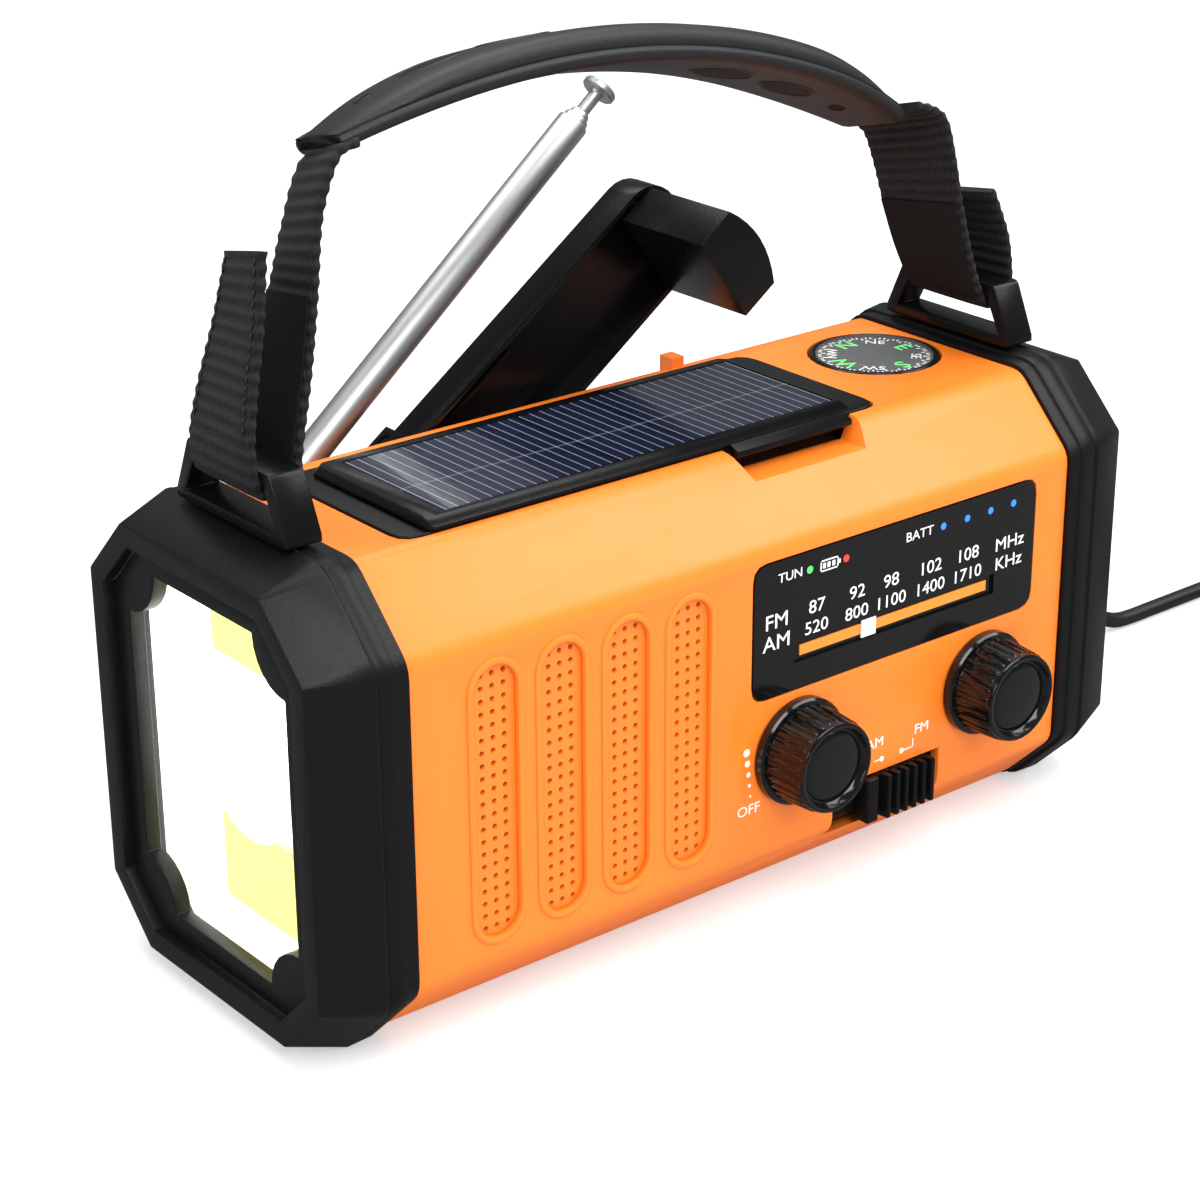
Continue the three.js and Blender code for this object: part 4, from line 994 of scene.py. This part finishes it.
class RADIO_OT_handle(Builder, bpy.types.Operator):
    """Mould the grip and thread the webbing through its brackets"""

    HALF_CHORD, RISE = 62.6, 12.6
    LEAN = math.radians(15)
    SKEW = 0.28
    FLOOR = ((1.0, -0.06), (0.9, 0.05), (0.4, 0.06), (0.02, 0.06))
    RIM = ((1.1, -0.05), (1.07, 0.16), (1.0, 0.2), (0.95, 0.0))
    RADIUS = (HALF_CHORD ** 2 + RISE ** 2) / (2 * RISE)

    def grip_point(self, share, y, height):
        y, height = (y * math.cos(self.LEAN) + height * math.sin(self.LEAN),
                     height * math.cos(self.LEAN) - y * math.sin(self.LEAN) - 3.0)
        turn = share * math.asin(self.HALF_CHORD / self.RADIUS)
        x = (self.RADIUS + height) * math.sin(turn)
        z = (self.RADIUS + height) * math.cos(turn) - self.RADIUS + self.RISE
        tilt = math.radians(6.5)
        return at(-3.8 + x * math.cos(tilt) + z * math.sin(tilt), y,
                  143.6 - x * math.sin(tilt) + z * math.cos(tilt))

    def end_share(self, share):
        """How far into the thinner end a place along the grip is, from 0 to 1."""
        return max(0.0, (abs(share) - 0.55) / 0.45)

    def thickness(self, share):
        return 6.9 * (1 - 0.3 * share ** 4) * (1 - 0.32 * self.end_share(share) ** 2)

    def build(self, scene):
        self.grip()
        self.grip_marks()
        settings = scene.radio_handle
        left = [(-61.5, 148.6), (-65.2, 147.6), (-67.8, 143.5), (-70.2, 136), (-72.2, 126), (-75.0, 114),
                (-77.8, 104), (-79.1, 98.4), (-80.2, 96.9), (-82.9, 96.3), (-85.6, 96.9), (-86.7, 98.6),
                (-87.0, 104), (-85.6, 112), (-82.8, 123), (-80.6, 134.5)]
        right = [(58, 136.4), (62.5, 135), (66, 132.4), (68.6, 126), (71.2, 117.4), (74.5, 108), (77.6, 101),
                 (79.1, 98.4), (80.2, 96.9), (82.9, 96.3), (85.6, 96.9), (86.7, 98.6), (86.6, 102),
                 (85.2, 108), (82.8, 113), (80, 118)]
        for name, route, keep, twist in (("strap_left", left, 0.882, 17), ("strap_right", right, 0.84, -8)):
            strap = self.strap(name + "_finished", route, settings, True, twist)
            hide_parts(name)
            inner = self.strap(name + "_tape", self.offset(route[4:8], -1.05), settings, False, twist)
            self.stitches(name, route, keep, twist)
            for piece in (strap, inner):
                self.folding(piece, keep)
        self.declare(scene)

    def declare(self, scene):
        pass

    def offset(self, route, distance):
        """The same route moved sideways, to the outside of a strap."""
        moved = []
        for i, (x, z) in enumerate(route):
            before, after = route[max(i - 1, 0)], route[min(i + 1, len(route) - 1)]
            ahead = Vector((after[0] - before[0], after[1] - before[1])).normalized()
            moved.append((x - ahead.y * distance, z + ahead.x * distance))
        return moved

    def twisted(self, point, offset, twist):
        """An offset from a strap's middle line, turned and leaning more the higher it is."""
        share = min(1.0, max(0.0, (point.z / MM - 98) / 40))
        turned_out = Matrix.Rotation(-math.radians(twist * share), 3, "Z") @ offset
        return turned_out - Vector((0, 0, self.SKEW * share * offset.y))

    def strap(self, name, route, settings, ribbed, twist):
        """Webbing along a route in the XZ plane, with its cross ribs or smooth hook tape."""
        points = smooth_path([at(x, 0, z) for x, z in route], settings.rib_pitch / 6)
        half = settings.width / 2
        rings, runs = [], []
        run = 0.0
        for i, point in enumerate(points):
            before, after = points[max(i - 1, 0)], points[min(i + 1, len(points) - 1)]
            ahead = (after - before).normalized()
            out = Vector((ahead.z, 0, -ahead.x))
            run += (point - points[i - 1]).length if i else 0.0
            swell = 0.00015 * math.sin(math.tau * run / settings.rib_pitch) if ribbed else 0.0
            thick = (settings.thickness if ribbed else 0.0007) / 2 + swell
            edge = half if ribbed else half - 0.0006
            ring = []
            for y, h in self.outline(edge):
                ring.append(point + self.twisted(point, out * (h * thick) + Vector((0, y, 0)), twist))
            rings.append(ring)
            runs.append(run)
        bm = bmesh.new()
        skin(bm, rings)
        made = from_parts(name, bm, "webbing" if ribbed else "tape", smooth=60)
        write_run(made, len(rings[0]), runs)
        made["run"] = run
        return made

    def outline(self, edge):
        """Across a strap and its share of the thickness, round its slightly rounded section."""
        top = [(-edge, 0.35), (-edge + 0.0004, 0.9), (-edge * 0.5, 1.0), (0, 1.0)]
        top += [(-y, h) for y, h in reversed(top[:-1])]
        return top + [(-y, -h) for y, h in top]

    def stitches(self, name, route, keep, twist):
        """Box stitching across the turned-back end of the strap."""
        end = [at(x, 0, z) for x, z in self.offset(route[-4:], 1.0 if route[0][0] < 0 else -1.0)]
        points = smooth_path(end, 0.0016)
        bm = bmesh.new()
        for point, after in zip(points[2:-1], points[3:]):
            ahead = (after - point).normalized()
            for y in (-8.4, 8.4):
                centre = point + self.twisted(point, Vector((0, y * MM, 0)), twist)
                rings = []
                for share in (-0.36, -0.2, 0.2, 0.36):
                    size = 0.00013 if abs(share) > 0.3 else 0.00024
                    place = centre + ahead * share * 0.0016
                    rings.append([place + Vector((*around(k, 6, size), 0)) for k in range(6)])
                skin(bm, rings)
        made = from_parts(name + "_stitches", bm, "jacket")
        self.folding(made, keep)

    def folding(self, piece, keep):
        """Puts a piece of a strap on the radio's body with a mesh of its own."""
        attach(piece, "radio_body")
        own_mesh(piece)

    def grip(self):
        """The moulded grip: a padded top over a wider lower edge, with a crease between them."""
        rings = []
        steps = 90
        for i in range(steps + 1):
            share = 2 * i / steps - 1
            wide = 11.9 * (1 - 0.05 * share ** 2) * (1 - 0.3 * self.end_share(share) ** 2)
            thick = self.thickness(share)
            side = [(wide - 2.6, 0), (wide - 0.9, 0.25), (wide - 0.15, 0.9), (wide, 1.7), (wide - 0.3, 2.3),
                    (wide - 0.9, 2.55), (wide - 0.7, 2.9), (wide - 0.75, thick - 2.4),
                    (wide - 1.3, thick - 1.3), (wide - 2.6, thick - 0.6), (wide * 0.5, thick - 0.1),
                    (0, thick)]
            section = side + [(-y, h) for y, h in reversed(side[:-1])]
            rings.append([self.grip_point(share, y, h) for y, h in section])
        bm = bmesh.new()
        skin(bm, rings)
        grip = from_parts("handle_grip_finished", bm, "rubber", smooth=42)
        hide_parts("handle_grip")
        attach(grip, "handle")

    def grip_marks(self):
        """Oval recesses and small round ones, on the top and the underside towards each end, with floors in
        a darker, duller black than the grip: painted shade.
        """
        marks = [(side * centre, reach, wide) for side in (-1, 1)
                 for centre, reach, wide in ((0.36, 0.1, 4.6), (0.62, 0.09, 4.0), (0.84, 0.022, 1.5))]
        bm, rims = bmesh.new(), bmesh.new()
        for centre, reach, wide in marks:
            for face in (1, -1):
                self.mark(bm, centre, reach, wide, face, self.FLOOR)
                self.mark(rims, centre, reach, wide, face, self.RIM)
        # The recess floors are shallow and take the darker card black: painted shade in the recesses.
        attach(from_parts("grip_recess_painted_shade", bm, "card", smooth=60), "handle")
        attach(from_parts("grip_recess_rims", rims, "rubber", smooth=60), "handle")

    def mark(self, bm, centre, reach, wide, face, steps):
        rings = []
        for scale, lift in steps:
            ring = []
            for i in range(40):
                turn = math.tau * i / 40
                share = centre + reach * scale * math.cos(turn)
                y = wide * scale * math.sin(turn)
                top = self.thickness(share)
                height = top - 0.1 * abs(y) / 5.9 + lift if face > 0 else -lift
                ring.append(self.grip_point(share, y, height))
            rings.append(ring)
        skin(bm, rings, caps=False)


class RADIO_OT_lamp(Builder, bpy.types.Operator):
    """Light the lamp end"""

    def build(self, scene):
        bm = bmesh.new()
        turned(bm, [(0, 0), (2.6, 0), (3.4, 0.5), (3.0, 1.6), (1.6, 2.3), (0, 2.5)], 32)
        place = Matrix.Translation(at(-79.9, 0, MIDDLE_Z)) @ Matrix.Rotation(-math.pi / 2, 4, "Y")
        settle(from_parts("lamp_emitter", bm, "hot_led", smooth=60), place, "radio_body")
        self.liner()

    def liner(self):
        """The side wall between the lamp's board and its lens, pale and glowing white of itself: painted
        lamp light.
        """
        bm = bmesh.new()
        bm.from_mesh(frame["nodes"]["lamp_board"].data)
        low = min(vert.co.x for vert in bm.verts)
        middle = at(0, 0, MIDDLE_Z)
        for vert in bm.verts:
            front = vert.co.x < low + 0.0005
            vert.co = Vector((-0.0862 if front else low - 0.0001, middle.y + (vert.co.y - middle.y) * 0.975,
                              middle.z + (vert.co.z - middle.z) * 0.985))
        bm.normal_update()
        ends = [face for face in bm.faces if abs(face.normal.x) > 0.5]
        bmesh.ops.delete(bm, geom=ends, context="FACES_ONLY")
        wall = from_parts("lamp_liner_painted_glow", bm, "lamp_wall")
        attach(wall, "radio_body")


class RADIO_OT_screws(Builder, bpy.types.Operator):
    """Set the screws in the back cover and under the base"""

    def build(self, scene):
        for name, columns, rows, pitch, place in (
                ("back_screws", 2, 1, (0.136, 0.01), Matrix.Translation(at(0, 35.95, 20))
                 @ Matrix.Rotation(-math.pi / 2, 4, "X")),
                ("base_screws", 2, 2, (0.136, 0.03), Matrix.Translation(at(0, 0, 1.7))
                 @ Matrix.Rotation(math.pi, 4, "X"))):
            bm = bmesh.new()
            turned(bm, [(0, -0.5), (0.7, -0.5), (0.8, 0.05), (2.3, 0.12), (2.7, -0.05), (2.8, -0.4),
                        (2.8, -1.2), (0, -1.2)], 24)
            screw = from_parts(name, bm, "zinc")
            repeated(screw, grid_tree, "zinc", columns=columns, rows=rows, column_pitch=pitch[0],
                     row_pitch=pitch[1])
            settle(screw, place, "radio_body")


class RADIO_OT_studio(Builder, bpy.types.Operator):
    """Lay the pale floor and set the lights"""

    def build(self, scene):
        settings = scene.radio_studio
        bm = bmesh.new()
        slab(bm, (-4000, -4000, -20), (4000, 4000, -0.05))
        floor = from_parts("floor", bm, "floor")
        scene.view_settings.view_transform = "Standard"
        world = scene.world or bpy.data.worlds.new("room")
        scene.world = world
        world.use_nodes = True
        background = world.node_tree.nodes["Background"]
        background.inputs["Color"].default_value = (0.97, 0.985, 1.0, 1)
        room = Graph(world.node_tree)
        glossy = Value(room, room.node("ShaderNodeLightPath").outputs["Is Glossy Ray"])
        room.feed(background.inputs["Strength"], (1.0 - glossy * 0.72) * settings.sky)
        lights = (
            ("key", (-0.35, -0.75, 0.95), 0.7, settings.key),
            ("top", (0.25, 0.35, 1.1), 0.9, settings.key * 0.9),
            ("side", (-1.1, 0.1, 0.55), 0.6, settings.key * 0.45),
            ("sheen", (0.72, -0.48, 0.92), 0.8, settings.key * 0.9),
        )
        target = Vector((0, 0, 0.05))
        for name, place, size, power in lights:
            data = bpy.data.lights.new(name, "AREA")
            data.energy = power
            data.size = size
            lamp = bpy.data.objects.new(name, data)
            scene.collection.objects.link(lamp)
            direction = target - Vector(place)
            turn = direction.to_track_quat("-Z", "Y").to_matrix().to_4x4()
            lamp.matrix_world = Matrix.Translation(place) @ turn


# ---- soft runs --------------------------------------------------------------
def smooth_path(points, step):
    """A Catmull-Rom curve through the points, sampled evenly."""
    dense = []
    count = len(points)
    for i in range(count - 1):
        p0, p1, p2, p3 = points[max(i - 1, 0)], points[i], points[i + 1], points[min(i + 2, count - 1)]
        for k in range(12):
            t = k / 12
            dense.append(0.5 * ((2 * p1) + (p2 - p0) * t + (2 * p0 - 5 * p1 + 4 * p2 - p3) * t * t
                                + (3 * p1 - p0 - 3 * p2 + p3) * t ** 3))
    dense.append(points[-1].copy())
    total = sum((b - a).length for a, b in zip(dense, dense[1:]))
    pieces = max(2, round(total / step))
    even, run, k = [dense[0].copy()], 0.0, 0
    for a, b in zip(dense, dense[1:]):
        span = (b - a).length
        while k + 1 < pieces and run + span >= (k + 1) * total / pieces:
            share = ((k + 1) * total / pieces - run) / span
            even.append(a.lerp(b, share))
            k += 1
        run += span
    even.append(dense[-1].copy())
    return even


def write_run(obj, around, runs):
    """Stores each point's distance along the piece in its own UV map."""
    mesh = obj.data
    layer = mesh.uv_layers.new(name="run")
    for loop in mesh.loops:
        ring, place = divmod(loop.vertex_index, around)
        layer.data[loop.index].uv = (runs[min(ring, len(runs) - 1)], mesh.vertices[loop.vertex_index].co.y)


def tube(name, points, radius, finish, sides):
    """A round cable along a path, with rings that don't twist."""
    spokes = [around(k, sides, radius) for k in range(sides)]
    rings = []
    side = None
    for i, point in enumerate(points):
        ahead = (points[min(i + 1, len(points) - 1)] - points[max(i - 1, 0)]).normalized()
        if side is None:
            side = ahead.orthogonal().normalized()
        side = (side - ahead * side.dot(ahead)).normalized()
        other = ahead.cross(side)
        rings.append([point + side * x + other * y for x, y in spokes])
    bm = bmesh.new()
    skin(bm, rings)
    return from_parts(name, bm, finish, smooth=60)


STEPS = ("camera", "lead", "housing", "grille", "dial", "knobs", "compass", "crank", "antenna", "handle",
         "lamp", "screws", "studio")


class RADIO_PT_panel(bpy.types.Panel):
    """Buttons and settings in the 3D view's sidebar"""

    bl_label = "Emergency radio"
    bl_idname = "RADIO_PT_panel"
    bl_space_type = "VIEW_3D"
    bl_region_type = "UI"
    bl_category = "Radio"

    def draw(self, context):
        for name in GROUPS:
            group = getattr(context.scene, name)
            for key in group.bl_rna.properties.keys():
                if key not in ("rna_type", "name"):
                    self.layout.prop(group, key)
        for step in STEPS:
            self.layout.operator(f"radio.{step}")


GROUPS = {
    "radio_face": FaceSettings, "radio_handle": HandleSettings, "radio_lead": LeadSettings,
    "radio_studio": StudioSettings,
}
CLASSES = (
    FaceSettings, HandleSettings, LeadSettings, StudioSettings,
    RADIO_OT_camera, RADIO_OT_lead, RADIO_OT_housing, RADIO_OT_grille, RADIO_OT_dial, RADIO_OT_knobs,
    RADIO_OT_compass, RADIO_OT_crank, RADIO_OT_antenna, RADIO_OT_handle, RADIO_OT_lamp, RADIO_OT_screws,
    RADIO_OT_studio, RADIO_PT_panel,
)


def register():
    for kind in CLASSES:
        bpy.utils.register_class(kind)
    for name, kind in GROUPS.items():
        setattr(bpy.types.Scene, name, bpy.props.PointerProperty(type=kind))


def unregister():
    for name in GROUPS:
        delattr(bpy.types.Scene, name)
    for kind in reversed(CLASSES):
        bpy.utils.unregister_class(kind)


def main():
    register()
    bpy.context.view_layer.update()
    for step in STEPS:
        getattr(bpy.ops.radio, step)()


if __name__ == "__main__":
    main()
